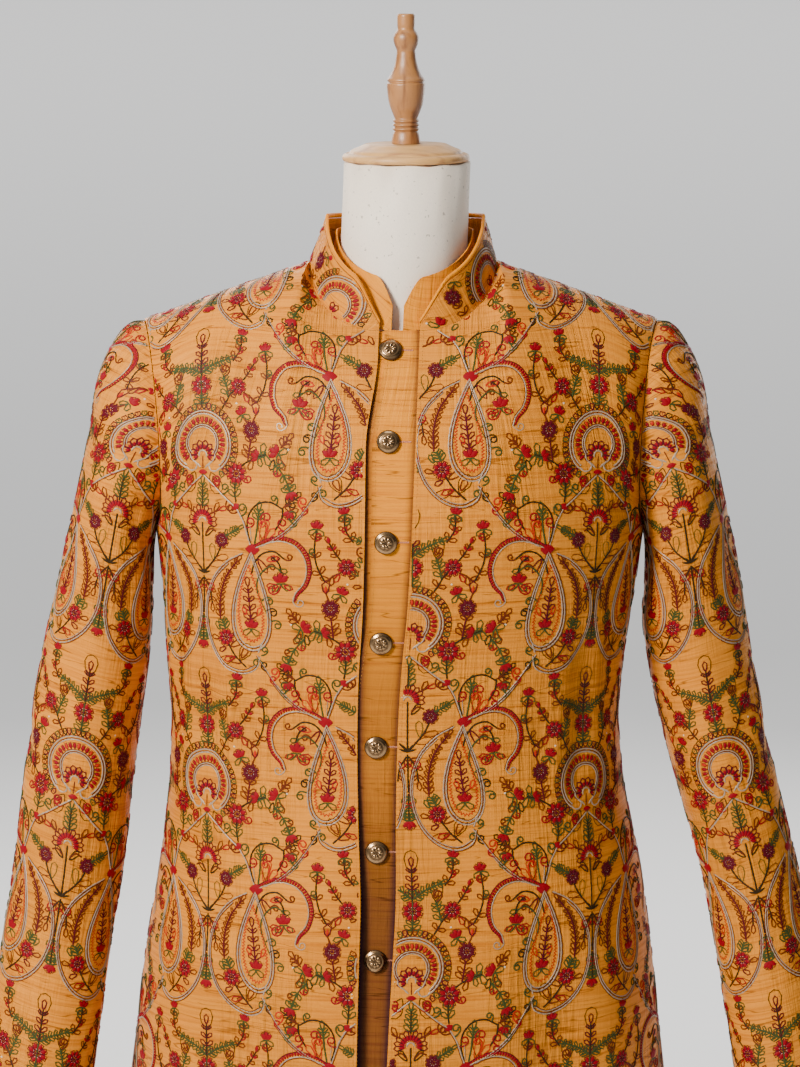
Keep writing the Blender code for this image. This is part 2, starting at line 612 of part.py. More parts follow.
def front_strip(x_from, x_to, rows, columns, depth):
    """Points and outward normals of a strip behind the fronts, depth below the body's outer face."""
    w = np.linspace((PLACKET_HEM_Z - HEM_Z) / (UNDERARM_Z - HEM_Z), 1.0, rows + 1)
    w = np.concatenate([w, np.linspace(1.0, 2.0, YOKE_ROWS + 1)[1:]])
    z_low = HEM_Z + (UNDERARM_Z - HEM_Z) * np.minimum(w, 1.0)
    v = np.maximum(w - 1.0, 0.0)
    turn = math.radians(PIT_TURN)
    y_middle = ring_y(0 * z_low, z_low, FRONT)
    y_middle = y_middle + (PIT_Y - y_middle) * (1 - np.cos(v * turn)) / (1 - math.cos(turn))
    z = z_low + (PIT_Z - z_low) * np.sin(v * turn) / math.sin(turn)
    x = x_from(z)[:, None] + (x_to(z) - x_from(z))[:, None] * np.linspace(0, 1, columns + 1)[None, :]
    round_off = ring_y(x, z_low[:, None], FRONT) - ring_y(0 * x, z_low[:, None], FRONT)
    grid = np.stack([x, y_middle[:, None] + round_off, np.broadcast_to(z[:, None], x.shape)], -1)
    normals = normals_of(grid)
    if normals[0, 0, 1] > 0:
        normals = -normals
    grid[..., 0] += body_size("shift", np.minimum(grid[..., 2], UNDERARM_Z))
    depth = depth + PLACKET_SINK * ease((SINK_TOP_Z - grid[..., 2:]) / SINK_LENGTH)
    grid = grid - normals * depth
    normals = normals_of(grid)
    return grid, normals if normals[0, 0, 1] < 0 else -normals


def placket_free_edge(z):
    """Free edge of the buttonhole strip, which shows beside the wearer's right front at the chest."""
    return -edge_x(RIGHT, z) - 0.003 + 0.0085 * ease((z - 1.08) / 0.12)


def make_plackets(plain):
    """Buttonhole strip under the left front, and the button strip below it."""
    size = PLACKET_ROWS, PLACKET_COLUMNS
    over = front_strip(placket_free_edge, lambda z: edge_x(LEFT, z) + 0.022, *size, PLACKET_DEPTH)
    wall("placket_left", *over, PLAIN_SILK, plain)
    under_from, under_to = lambda z: -edge_x(RIGHT, z) - 0.026, lambda z: edge_x(LEFT, z) - 0.004
    under = front_strip(under_from, under_to, *size, UNDER_PLACKET_DEPTH)
    wall("placket_right", *under, PLAIN_SILK, plain)
    return over


def make_buttons(placket, brass):
    """Domed brass buttons, each square to the strip below it."""
    grid, normals = placket
    middle = PLACKET_COLUMNS // 2
    for k, z in enumerate(BUTTON_HEIGHTS):
        heights = grid[:, middle, 2]
        y = float(np.interp(z, heights, grid[:, middle, 1]))
        out = np.array([np.interp(z, heights, normals[:, middle, j]) for j in range(3)])
        out[0] = 0.0
        out = out / np.linalg.norm(out)
        x = BUTTON_X - BUTTON_DRIFT * (EDGE_TOP_Z - z) + float(body_size("shift", min(z, UNDERARM_Z)))
        profile = [(r * BUTTON_RADIUS, h) for r, h in BUTTON_PROFILE]
        button = turned(f"button_{k + 1}", profile, BUTTON_SIDES, (0, 0, 0), brass, BUTTON_CROWN)
        button.location = (x, y + out[1] * SEAM_GAP * 1.5, z + out[2] * SEAM_GAP * 1.5)
        button.rotation_euler = (math.atan2(-out[1], out[2]), 0.0, 0.0)


def form_point(u, w, face):
    """The padded torso's surface, inside the coat: it carries the coat on the shoulders."""
    u, w = np.broadcast_arrays(np.asarray(u, float), np.asarray(w, float))
    point = body_point(u, w, face)
    step = 0.004
    across = body_point(np.minimum(u + step, 1), w, face) - body_point(np.maximum(u - step, 0), w, face)
    along = body_point(u, np.minimum(w + step, 2), face) - body_point(u, np.maximum(w - step, 0), face)
    normal = np.cross(across, along)
    normal = normal / np.maximum(np.linalg.norm(normal, axis=-1, keepdims=True), 1e-12)
    ridge = (u > NECK_SHARE - 1e-6) & (w > 1.999)
    normal = np.where(ridge[..., None], np.array([0.335, 0.0, 0.942]), normal * -face)
    height = np.clip(w - 1.0, 0.0, 1.0)
    out = np.clip((u - NECK_SHARE) / (1 - NECK_SHARE), 0.0, 1.0)
    near_neck = FORM_NECK_DROP * (1 - ease(out / 0.45)) * height
    gap = CLOTH + FORM_REST + FORM_EASE * (1 - height**2) + near_neck
    return point - normal * gap[..., None]


def make_form(cover):
    """Torso, armhole plates and neck of the dress form as one closed solid."""
    low = (FORM_BOTTOM_Z - HEM_Z) / (UNDERARM_Z - HEM_Z)
    rows = np.concatenate([np.linspace(low, 1, 8), np.linspace(1, 2, YOKE_ROWS + 1)[1:]])
    u = panel_columns()
    front = form_point(u[None, :], rows[:, None], FRONT)
    back = form_point(u[None, :], rows[:, None], BACK)
    front_left, back_left = placed(front, LEFT), placed(back, LEFT)
    front_right, back_right = placed(front, RIGHT), placed(back, RIGHT)
    ring = np.concatenate([front_left, back_left[:, ::-1], back_right[:, 1:], front_right[:, :0:-1]], 1)
    ring[0, :, 2] = FORM_BOTTOM_Z
    columns = ring.shape[1]
    count = len(rows)
    points = ring.reshape(-1, 3).tolist()
    faces = [tuple(range(columns))[::-1]]
    for r in range(count - 1):
        for c in range(columns):
            d = (c + 1) % columns
            faces.append((r * columns + c, r * columns + d, (r + 1) * columns + d, (r + 1) * columns + c))
    top = (count - 1) * columns
    last = len(u)
    neck = list(range(NECK_COLUMNS + 1))
    loop = (
        [top + c for c in neck]
        + [top + 2 * last - 1 - c for c in neck[-2::-1]]
        + [top + 2 * last - 1 + c for c in neck[1:]]
        + [top + columns - c for c in neck[-2:0:-1]]
    )
    base = np.array([points[k] for k in loop])
    heading = base[:, :2] - np.array([0.0, NECK_CENTRE_Y])
    heading = heading / np.linalg.norm(heading, axis=1, keepdims=True)
    below = loop
    for k in range(1, NECK_RINGS + 2):
        t = min(k / NECK_RINGS, 1.0) * math.pi / 2
        circle = heading * NECK_RADIUS + np.array([0.0, NECK_CENTRE_Y])
        flat = base[:, :2] + (circle - base[:, :2]) * math.sin(t)
        height = base[:, 2] + NECK_FILLET * (1 - math.cos(t))
        height = height if k <= NECK_RINGS else np.full(len(base), NECK_TOP_Z)
        ring_points = leaned(np.column_stack([flat, height]))
        above = list(range(len(points), len(points) + len(loop)))
        points += ring_points.tolist()
        for s in range(len(loop)):
            t_next = (s + 1) % len(loop)
            faces.append((below[s], below[t_next], above[t_next], above[s]))
        below = above
    faces.append(tuple(below))
    add_object("form_torso", points, faces, cover)


def make_stand(wood, metal):
    """Turned neck cap and finial above, pole and turned foot below."""
    turned("neck_cap", CAP_PROFILE, 28, (CAP_X, NECK_CENTRE_Y, CAP_Z), wood)
    turned("finial", FINIAL_PROFILE, 16, (CAP_X, NECK_CENTRE_Y, FINIAL_Z), wood)
    pole_top = FORM_BOTTOM_Z - SEAM_GAP - FOOT_HEIGHT - SEAM_GAP
    turned("pole", ((POLE_RADIUS, 0.0), (POLE_RADIUS, pole_top)), 16, (0, 0, FOOT_HEIGHT + SEAM_GAP), metal)
    turned("foot", FOOT_PROFILE, 32, (0, 0, 0), wood)


def main():
    clear_scene()
    silk = finish("embroidered_silk", (0.62, 0.33, 0.10), 0.55)
    plain = finish("plain_silk", (0.64, 0.34, 0.10), 0.50)
    brass = finish("antique_brass", (0.36, 0.27, 0.18), 0.30, 1.0)
    cover = finish("form_jersey", (0.74, 0.70, 0.65), 0.90)
    wood = finish("turned_wood", (0.60, 0.40, 0.22), 0.45)
    metal = finish("pole_steel", (0.30, 0.30, 0.31), 0.40, 1.0)
    make_front(LEFT, silk)
    make_front(RIGHT, silk)
    make_back(silk)
    make_sleeve("sleeve_right", RIGHT_SLEEVE_ROWS, RIGHT, silk)
    make_sleeve("sleeve_left", LEFT_SLEEVE_ROWS, LEFT, silk)
    make_collar(silk, plain)
    make_inner_collar(plain)
    make_buttons(make_plackets(plain), brass)
    make_form(cover)
    make_stand(wood, metal)


main()
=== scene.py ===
"""The finish of an embroidered sherwani coat and of the limbless dress form that it rests on.

Metres, +Z up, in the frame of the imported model: the coat's front faces -Y, the wearer's left is +X and
the origin is the middle of the foot's underside.
"""

import math

import bmesh
import bpy
import numpy as np
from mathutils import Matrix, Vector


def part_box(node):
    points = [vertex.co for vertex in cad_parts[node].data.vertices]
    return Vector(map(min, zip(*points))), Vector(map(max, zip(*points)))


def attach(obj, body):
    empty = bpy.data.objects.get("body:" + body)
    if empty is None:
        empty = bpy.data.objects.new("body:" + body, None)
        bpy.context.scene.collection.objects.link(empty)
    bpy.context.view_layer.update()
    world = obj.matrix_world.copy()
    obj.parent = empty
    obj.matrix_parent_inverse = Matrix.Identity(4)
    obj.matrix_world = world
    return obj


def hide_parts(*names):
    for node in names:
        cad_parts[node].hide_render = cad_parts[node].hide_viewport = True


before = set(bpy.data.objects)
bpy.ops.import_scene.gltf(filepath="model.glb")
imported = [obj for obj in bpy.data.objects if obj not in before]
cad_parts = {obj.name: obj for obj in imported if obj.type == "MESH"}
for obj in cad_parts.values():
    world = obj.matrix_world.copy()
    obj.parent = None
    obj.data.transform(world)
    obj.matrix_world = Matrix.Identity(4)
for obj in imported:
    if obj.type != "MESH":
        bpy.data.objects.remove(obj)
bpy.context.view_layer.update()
scene = bpy.context.scene


# Foot of the stand
# A thick round board of pale wood, turned on a lathe with a moulded rim and a raised boss in the
# middle, where the pole is fixed. It is sanded and finished with satin lacquer.

FOOT_RIM = (
    (0.203, 0.0), (0.209, 0.003), (0.2103, 0.009), (0.2095, 0.015), (0.2050, 0.0200),
    (0.2010, 0.0225),
)
FOOT_TOP = ((0.1990, 0.0226), (0.160, 0.0268), (0.110, 0.0292), (0.066, 0.0306), (0.058, 0.0316))
FOOT_BOSS = (
    (0.050, 0.0345), (0.0455, 0.0370), (0.0395, 0.0450), (0.0360, 0.0540), (0.0345, 0.0585),
    (0.0300, 0.0615),
)
FOOT_SIDES, FOOT_SPACING = 80, 0.0036
WOOD_PALE, WOOD_DARK, WOOD_BARE = (0.400, 0.170, 0.052), (0.200, 0.070, 0.018), (0.640, 0.340, 0.110)


def through(points, spacing):
    """Points about spacing apart on a smooth curve through the given ones, in any number of dimensions."""
    points = np.asarray(points, float)
    reach = np.concatenate([[0.0], np.cumsum(np.linalg.norm(np.diff(points, axis=0), axis=1))])
    slope = np.gradient(points, reach, axis=0)
    at = np.linspace(0, reach[-1], max(2, int(round(reach[-1] / spacing)) + 1))
    i = np.clip(np.searchsorted(reach, at, side="right") - 1, 0, len(points) - 2)
    step = (reach[i + 1] - reach[i])[:, None]
    t = ((at - reach[i])[:, None]) / step
    hold = points[i] * (1 + 2 * t) * (1 - t) ** 2 + points[i + 1] * t * t * (3 - 2 * t)
    return hold + step * t * (1 - t) * (slope[i] * (1 - t) - slope[i + 1] * t)


def object_of(name, points, faces, material, uv=None, smooth_angle=50.0):
    """A mesh object from arrays of points and faces. uv has one row for each point."""
    mesh = bpy.data.meshes.new(name)
    points = np.asarray(points, np.float32).reshape(-1, 3)
    if isinstance(faces, list):
        sizes = np.array([len(face) for face in faces])
        loops = np.concatenate([np.asarray(face) for face in faces])
    else:
        sizes, loops = np.full(len(faces), faces.shape[1]), faces.ravel()
    mesh.vertices.add(len(points))
    mesh.vertices.foreach_set("co", points.ravel())
    mesh.loops.add(len(loops))
    mesh.loops.foreach_set("vertex_index", loops.astype(np.int32))
    mesh.polygons.add(len(sizes))
    starts = np.concatenate([[0], np.cumsum(sizes)[:-1]])
    mesh.polygons.foreach_set("loop_start", starts.astype(np.int32))
    mesh.update(calc_edges=True)
    mesh.validate()
    if uv is not None:
        layer = mesh.uv_layers.new(name="cloth")
        corners = np.zeros(len(mesh.loops), np.int32)
        mesh.loops.foreach_get("vertex_index", corners)
        layer.uv.foreach_set("vector", np.asarray(uv, np.float32)[corners].ravel())
    mesh.shade_smooth()
    if smooth_angle < 180:
        mesh.set_sharp_from_angle(angle=math.radians(smooth_angle))
    mesh.materials.append(material)
    made = bpy.data.objects.new(name, mesh)
    scene.collection.objects.link(made)
    return made


def ring_faces(rings, sides):
    """Faces of a stack of rings of points, with one more face to close each end."""
    at = np.arange(rings * sides).reshape(rings, sides)
    after = np.roll(at, -1, axis=1)
    quads = np.stack([at[:-1], after[:-1], after[1:], at[1:]], -1).reshape(-1, 4)
    return quads.tolist() + [at[0][::-1].tolist(), at[-1].tolist()]


def lathed(name, profile, centre, sides, material, spacing=None):
    """A turned piece: rows of radius and height from the bottom to the top, closed at both ends."""
    rows = np.asarray(profile, float) if spacing is None else through(profile, spacing)
    angle = np.arange(sides) * 2 * math.pi / sides
    ring = np.stack([np.cos(angle), np.sin(angle)], -1)
    heights = np.broadcast_to(rows[:, None, 1:], (len(rows), sides, 1))
    points = np.concatenate([rows[:, None, :1] * ring[None], heights], -1)
    points = points.reshape(-1, 3) + np.asarray(centre)
    return object_of(name, points, ring_faces(len(rows), sides), material)


def nodes_of(name):
    """A new material with its node tree, its links and its Principled shader."""
    material = bpy.data.materials.new(name)
    material.use_nodes = True
    tree = material.node_tree
    return material, tree.nodes, tree.links, tree.nodes["Principled BSDF"]


def settings(node, **values):
    """Sets a node's inputs. The names have underscores where the inputs have spaces."""
    for name, value in values.items():
        node.inputs[name.replace("_", " ")].default_value = value


def scaled_noise(nodes, links, vector, scale, detail=2.0, roughness=0.5, distortion=0.0):
    """Noise on a vector that is first stretched by scale, one number for each axis."""
    stretch = nodes.new("ShaderNodeVectorMath")
    stretch.operation = "MULTIPLY"
    stretch.inputs[1].default_value = scale
    links.new(vector, stretch.inputs[0])
    noise = nodes.new("ShaderNodeTexNoise")
    settings(noise, Scale=1.0, Detail=detail, Roughness=roughness, Distortion=distortion)
    links.new(stretch.outputs[0], noise.inputs["Vector"])
    return noise.outputs["Fac"]


def ramp(nodes, links, value, *stops):
    """A colour ramp: each stop is a place from 0 to 1 and a colour or a grey."""
    made = nodes.new("ShaderNodeValToRGB")
    band = made.color_ramp
    while len(band.elements) < len(stops):
        band.elements.new(0.5)
    for element, (place, colour) in zip(band.elements, stops):
        element.position = place
        element.color = (*colour, 1.0) if hasattr(colour, "__len__") else (colour, colour, colour, 1.0)
    links.new(value, made.inputs["Fac"])
    return made.outputs["Color"]


def blended(nodes, links, kind, share, first, second):
    """Two colours blended. share is a number or a socket, and so are the colours."""
    mix = nodes.new("ShaderNodeMix")
    mix.data_type = "RGBA"
    mix.blend_type = kind
    for name, sort, value in (("Factor", "VALUE", share), ("A", "RGBA", first), ("B", "RGBA", second)):
        target = next(s for s in mix.inputs if s.name == name and s.type == sort)
        if isinstance(value, bpy.types.NodeSocket):
            links.new(value, target)
        elif hasattr(value, "__len__"):
            target.default_value = (*value, 1.0)
        else:
            target.default_value = value
    return next(s for s in mix.outputs if s.type == "RGBA")


def shaded(nodes, links, share, colour, value, *stops):
    """The colour darkened by a share where a ramp over a value is dark."""
    return blended(nodes, links, "MULTIPLY", share, colour, ramp(nodes, links, value, *stops))


def bumped(nodes, links, shader, height, distance, strength=1.0, below=None):
    """Gives the shader a bump of the height, distance metres deep, on top of another bump or none."""
    bump = nodes.new("ShaderNodeBump")
    settings(bump, Strength=strength, Distance=distance)
    links.new(height, bump.inputs["Height"])
    if below is not None:
        links.new(below, bump.inputs["Normal"])
    links.new(bump.outputs["Normal"], shader.inputs["Normal"])
    return bump.outputs["Normal"]


def turned_wood(name, pale, dark, grain, roughness):
    """Pale close-grained wood. grain stretches the growth lines, one number for each axis."""
    material, nodes, links, shader = nodes_of(name)
    place = nodes.new("ShaderNodeTexCoord").outputs["Object"]
    streaks = scaled_noise(nodes, links, place, grain, 5.0, 0.62, 0.6)
    pores = scaled_noise(nodes, links, place, tuple(6 * g for g in grain), 3.0, 0.7)
    clouds = scaled_noise(nodes, links, place, (9, 9, 9), 2.0)
    bright = tuple(min(1, 1.12 * c) for c in pale)
    tone = ramp(nodes, links, streaks, (0.30, dark), (0.52, pale), (0.72, bright))
    tone = shaded(nodes, links, 0.55, tone, pores, (0.60, 1.0), (0.74, 0.62))
    tone = shaded(nodes, links, 0.35, tone, clouds, (0.35, 0.72), (0.65, 1.0))
    links.new(tone, shader.inputs["Base Color"])
    gloss = ramp(nodes, links, streaks, (0.3, roughness + 0.1), (0.7, roughness - 0.06))
    links.new(gloss, shader.inputs["Roughness"])
    settings(shader, Coat_Weight=0.18, Coat_Roughness=0.35)
    bumped(nodes, links, shader, pores, 0.0003, 0.5)
    return material


board_wood = turned_wood("lacquered_foot_wood", WOOD_PALE, WOOD_DARK, (9, 90, 90), 0.42)
profile = FOOT_RIM + FOOT_TOP + FOOT_BOSS
foot = lathed("turned_foot", profile, (0, 0, 0), FOOT_SIDES, board_wood, FOOT_SPACING)
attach(foot, "root")
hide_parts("foot")


# Pole
# A drawn steel tube with a brushed satin finish, which runs from the foot's boss up into the form's
# bottom board.

POLE_RADIUS, POLE_SIDES, POLE_EDGE = 0.016, 72, 0.001
STEEL_DARK, STEEL_PALE = (0.36, 0.36, 0.365), (0.56, 0.56, 0.57)

material, nodes, links, shader = nodes_of("satin_pole_steel")
place = nodes.new("ShaderNodeTexCoord").outputs["Object"]
brushing = scaled_noise(nodes, links, place, (900, 900, 25), 3.0, 0.6)
links.new(ramp(nodes, links, brushing, (0.3, STEEL_DARK), (0.7, STEEL_PALE)), shader.inputs["Base Color"])
links.new(ramp(nodes, links, brushing, (0.3, 0.24), (0.7, 0.40)), shader.inputs["Roughness"])
settings(shader, Metallic=1.0)
bumped(nodes, links, shader, brushing, 0.00004, 0.6)
pole_low, pole_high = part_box("pole")
height = pole_high.z - pole_low.z
tube = (
    (POLE_RADIUS - POLE_EDGE, 0.0),
    (POLE_RADIUS, POLE_EDGE),
    (POLE_RADIUS, height * 0.5),
    (POLE_RADIUS, height - POLE_EDGE),
    (POLE_RADIUS - POLE_EDGE, height),
)
pole = lathed("steel_pole", tube, (0, 0, pole_low.z), POLE_SIDES, material)
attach(pole, "root")
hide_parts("pole")


# Padded torso and neck
# A moulded shell with thin padding, covered in off-white cotton jersey that is stretched smooth over
# the chest and neck. The coat hangs from its shoulders, so only the neck shows.

COVER_LIT, COVER_SHADE, COVER_FLECK = (0.960, 0.840, 0.700), (0.880, 0.755, 0.610), (0.520, 0.430, 0.340)
TORSO_LEVELS, FOLD_ANGLE, FOLD_SHARPNESS = 1, 55.0, 0.9


def refined(node, name, levels, fold_angle):
    """A smooth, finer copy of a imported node. Edges sharper than fold_angle stay crisp."""
    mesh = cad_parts[node].data.copy()
    body = bmesh.new()
    body.from_mesh(mesh)
    bmesh.ops.remove_doubles(body, verts=body.verts, dist=0.00001)
    angles = {"angle_face_threshold": math.radians(25), "angle_shape_threshold": math.radians(60)}
    bmesh.ops.join_triangles(body, faces=body.faces, **angles)
    crease = body.edges.layers.float.new("crease_edge")
    for edge in body.edges:
        if len(edge.link_faces) == 2 and edge.calc_face_angle() > math.radians(fold_angle):
            edge[crease] = FOLD_SHARPNESS
    body.to_mesh(mesh)
    body.free()
    mesh.materials.clear()
    made = bpy.data.objects.new(name, mesh)
    scene.collection.objects.link(made)
    finer = made.modifiers.new("finer", "SUBSURF")
    finer.levels = finer.render_levels = levels
    return made


def made_plain(thing):
    """The object with its modifiers worked into its mesh."""
    bpy.context.view_layer.update()
    evaluated = thing.evaluated_get(bpy.context.evaluated_depsgraph_get())
    mesh = bpy.data.meshes.new_from_object(evaluated)
    thing.modifiers.clear()
    thing.data = mesh
    return thing


material, nodes, links, shader = nodes_of("stretched_cotton_jersey")
place = nodes.new("ShaderNodeTexCoord").outputs["Object"]
ribs = scaled_noise(nodes, links, place, (1300, 1300, 420), 2.0, 0.5)
flecks = scaled_noise(nodes, links, place, (230, 230, 230), 2.0, 0.6)
clouds = scaled_noise(nodes, links, place, (11, 11, 8), 3.0)
tone = ramp(nodes, links, clouds, (0.35, COVER_SHADE), (0.62, COVER_LIT))
tone = shaded(nodes, links, 0.5, tone, ribs, (0.30, 0.86), (0.65, 1.0))
fleck_mask = ramp(nodes, links, flecks, (0.655, 0.0), (0.70, 1.0))
tone = blended(nodes, links, "MIX", fleck_mask, tone, COVER_FLECK)
links.new(tone, shader.inputs["Base Color"])
settings(shader, Roughness=0.88, Sheen_Weight=0.25, Sheen_Roughness=0.5)
bumped(nodes, links, shader, ribs, 0.00025, 0.6)
torso = made_plain(refined("form_torso", "jersey_torso", TORSO_LEVELS, FOLD_ANGLE))
torso.data.materials.append(material)
torso.data.shade_smooth()
torso.data.set_sharp_from_angle(angle=math.radians(45))
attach(torso, "root")
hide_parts("form_torso")


# Neck cap and finial
# Two turned pieces of pale hardwood: a stepped round cap that closes the neck and, dowelled into it,
# a baluster finial with bead rings. The grain runs up the finial.

CAP_LOWER = (
    (0.0540, 0.0), (0.0556, 0.0006), (0.0562, 0.0022), (0.0560, 0.0042), (0.0549, 0.0058),
    (0.0528, 0.0068),
)
CAP_STEP = (
    (0.0500, 0.0071), (0.0494, 0.0078), (0.0490, 0.0088), (0.0470, 0.0100),
    (0.0430, 0.0116), (0.0395, 0.0132), (0.0370, 0.0144), (0.0355, 0.0150),
)
FINIAL_FOOT = ((0.0127, 0.0), (0.0126, 0.003), (0.0119, 0.0068), (0.0110, 0.0100), (0.0104, 0.0112))
FINIAL_RINGS = (
    (0.0115, 0.0119), (0.0117, 0.0128), (0.0114, 0.0137), (0.0104, 0.0143),
    (0.0103, 0.0149), (0.0114, 0.0155), (0.0117, 0.0163), (0.0114, 0.0172),
    (0.0104, 0.0178), (0.0104, 0.0186), (0.0115, 0.0192), (0.0116, 0.0199),
    (0.0112, 0.0206), (0.0105, 0.0214),
)
FINIAL_VASE = (
    (0.0113, 0.0250), (0.0135, 0.0305), (0.0153, 0.0370), (0.0163, 0.0440),
    (0.0168, 0.0500), (0.0167, 0.0525), (0.0158, 0.0534), (0.0157, 0.0540),
    (0.0165, 0.0549), (0.0163, 0.0560), (0.0145, 0.0585),
)
FINIAL_NECK = (
    (0.0118, 0.0640), (0.0098, 0.0700), (0.0086, 0.0770), (0.0083, 0.0815),
    (0.0090, 0.0832), (0.0104, 0.0868), (0.0111, 0.0905), (0.0109, 0.0935),
    (0.0098, 0.0962), (0.0086, 0.0978), (0.0078, 0.0990),
)
FINIAL_TIP = ((0.0078, 0.1040), (0.0078, 0.1090), (0.0076, 0.1120), (0.0070, 0.1128))
CAP_SIDES, CAP_SPACING, FINIAL_SIDES, FINIAL_SPACING = 96, 0.0011, 56, 0.0008

cap_low, cap_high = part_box("neck_cap")
finial_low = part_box("finial")[0]
neck_middle = ((cap_low.x + cap_high.x) / 2, (cap_low.y + cap_high.y) / 2)
cap_wood = turned_wood("neck_cap_wood", WOOD_BARE, WOOD_PALE, (14, 120, 120), 0.50)
finial_wood = turned_wood("finial_wood", WOOD_PALE, WOOD_DARK, (110, 110, 12), 0.38)
cap_place, finial_place = (*neck_middle, cap_low.z), (*neck_middle, finial_low.z)
cap = lathed("stepped_neck_cap", CAP_LOWER + CAP_STEP, cap_place, CAP_SIDES, cap_wood, CAP_SPACING)
profile = FINIAL_FOOT + FINIAL_RINGS + FINIAL_VASE + FINIAL_NECK + FINIAL_TIP
finial = lathed("baluster_finial", profile, finial_place, FINIAL_SIDES, finial_wood, FINIAL_SPACING)
for piece, node in ((cap, "neck_cap"), (finial, "finial")):
    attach(piece, "root")
    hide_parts(node)


# Back of the coat
# One piece of mustard-gold slub silk from side seam to side seam, cut with a curved waist, a flared
# skirt and a slit at the foot of each side seam. The body's shape is worked out here for all panels.

# The third colour is painted shadow: the dark of the thin lines along the thick weft threads.
SILK_LIT, SILK_SHADE, SLUB_SHADOW = (0.755, 0.260, 0.018), (0.555, 0.160, 0.007), (0.150, 0.028, 0.001)
CLOTH = 0.0013
SEAM_GAP = 0.0003
HEM_Z, UNDERARM_Z, SLIT_TOP_Z, SLIT_SPREAD = 0.450, 1.235, 0.818, 0.045
SHOULDER_X, SHOULDER_Y, SHOULDER_Z = 0.229, 0.0, 1.4175
NECK_X, NECK_Y, NECK_Z = 0.083, -0.010, 1.470
PIT_Y, PIT_Z, PIT_TURN = -0.084, 1.417, 50.0
NAPE_Y, NAPE_Z, NAPE_TURN = 0.055, 1.466, 65.0
ARMHOLE_DEPTH, ARMHOLE_BOW = 0.0565, 0.011
NECK_SHARE = 0.30
NECK_LEAN, LEAN_FROM_Z, LEAN_TO_Z = 0.0065, 1.400, 1.550
BODY_COLUMNS = ("z", "half_width", "front", "back", "square", "shift")
BODY_ROWS = (
    (0.450, 0.283, 0.192, 0.186, 2.10, -0.002),
    (0.590, 0.263, 0.172, 0.166, 2.12, -0.002),
    (0.725, 0.246, 0.157, 0.148, 2.15, -0.002),
    (0.850, 0.231, 0.146, 0.134, 2.20, -0.001),
    (0.912, 0.221, 0.140, 0.126, 2.20, 0.000),
    (0.993, 0.208, 0.132, 0.113, 2.18, -0.003),
    (1.062, 0.2035, 0.129, 0.107, 2.18, -0.0045),
    (1.115, 0.207, 0.132, 0.110, 2.22, -0.004),
    (1.177, 0.213, 0.137, 0.115, 2.28, -0.001),
    (1.235, 0.219, 0.140, 0.118, 2.35, 0.000),
)
LEFT_EDGE_X, LEFT_EDGE_DRIFT = 0.0165, 0.042
RIGHT_EDGE_X, RIGHT_EDGE_DRIFT = 0.0190, 0.013
RIGHT_EDGE_STEP, RIGHT_EDGE_STEP_LENGTH = 0.0095, 0.08
EDGE_TOP_Z = 1.400
LEFT_LIFT, RIGHT_LIFT, LIFT_WIDTH, LIFT_TOP_Z, LIFT_LENGTH = 0.010, 0.005, 0.30, 1.05, 0.30
FRONT, BACK, LEFT, RIGHT = -1.0, 1.0, 1.0, -1.0

# Soft folds of the back, in the cloth's own measure: a and b are metres from the middle and up the
# cloth, and each runs for its length at its lean, in degrees from upright.
FOLD_COLUMNS = ("a", "b", "length", "width", "height", "lean")
BACK_FOLDS = (
    (0.118, 1.085, 0.120, 0.013, 0.0030, 6),
    (-0.124, 1.075, 0.135, 0.014, 0.0032, -5),
    (0.090, 1.045, 0.085, 0.010, -0.0020, 12),
    (-0.092, 1.060, 0.090, 0.010, -0.0022, -10),
    (0.150, 1.310, 0.080, 0.016, 0.0024, 24),
    (-0.152, 1.305, 0.085, 0.015, 0.0026, -22),
    (0.010, 1.110, 0.150, 0.024, -0.0020, 3),
    (0.175, 0.760, 0.230, 0.030, 0.0050, 5),
    (-0.165, 0.740, 0.250, 0.032, 0.0046, -6),
    (0.070, 0.640, 0.210, 0.028, -0.0038, 3),
    (-0.060, 0.660, 0.230, 0.026, -0.0040, -2),
    (0.240, 0.640, 0.180, 0.022, -0.0035, 8),
    (-0.245, 0.620, 0.190, 0.024, -0.0032, -8),
)


def smooth(xs, ys, x):
    """The value at x of a smooth curve through the points (xs, ys), with xs rising."""
    xs, ys, x = (np.asarray(values, float) for values in (xs, ys, x))
    slope = np.gradient(ys, xs)
    i = np.clip(np.searchsorted(xs, x, side="right") - 1, 0, len(xs) - 2)
    step = xs[i + 1] - xs[i]
    t = np.clip((x - xs[i]) / step, 0.0, 1.0)
    rise = ys[i] * (1 + 2 * t) * (1 - t) ** 2 + ys[i + 1] * t * t * (3 - 2 * t)
    return rise + step * t * (1 - t) * (slope[i] * (1 - t) - slope[i + 1] * t)


def ease(t):
    """From 0 to 1, flat at both ends."""
    t = np.clip(t, 0.0, 1.0)
    return t * t * (3 - 2 * t)


def body_size(name, z):
    """One column of the body table at height z."""
    k = BODY_COLUMNS.index(name)
    return smooth([row[0] for row in BODY_ROWS], [row[k] for row in BODY_ROWS], z)


def edge_x(side, z):
    """How far a front edge lies from the middle, measured towards its own side."""
    down = np.maximum(EDGE_TOP_Z - z, 0.0)
    if side == LEFT:
        return LEFT_EDGE_X - LEFT_EDGE_DRIFT * down
    step = RIGHT_EDGE_STEP * ease((EDGE_TOP_Z - z) / RIGHT_EDGE_STEP_LENGTH)
    return RIGHT_EDGE_X + step + RIGHT_EDGE_DRIFT * down


def ring_y(x, z, face):
    """Depth of the body's outer face below the underarm."""
    depth = body_size("front" if face == FRONT else "back", z)
    share = np.clip(np.abs(x) / body_size("half_width", z), 0.0, 1.0)
    square = body_size("square", z)
    return face * depth * (1 - share**square) ** (1 / square)


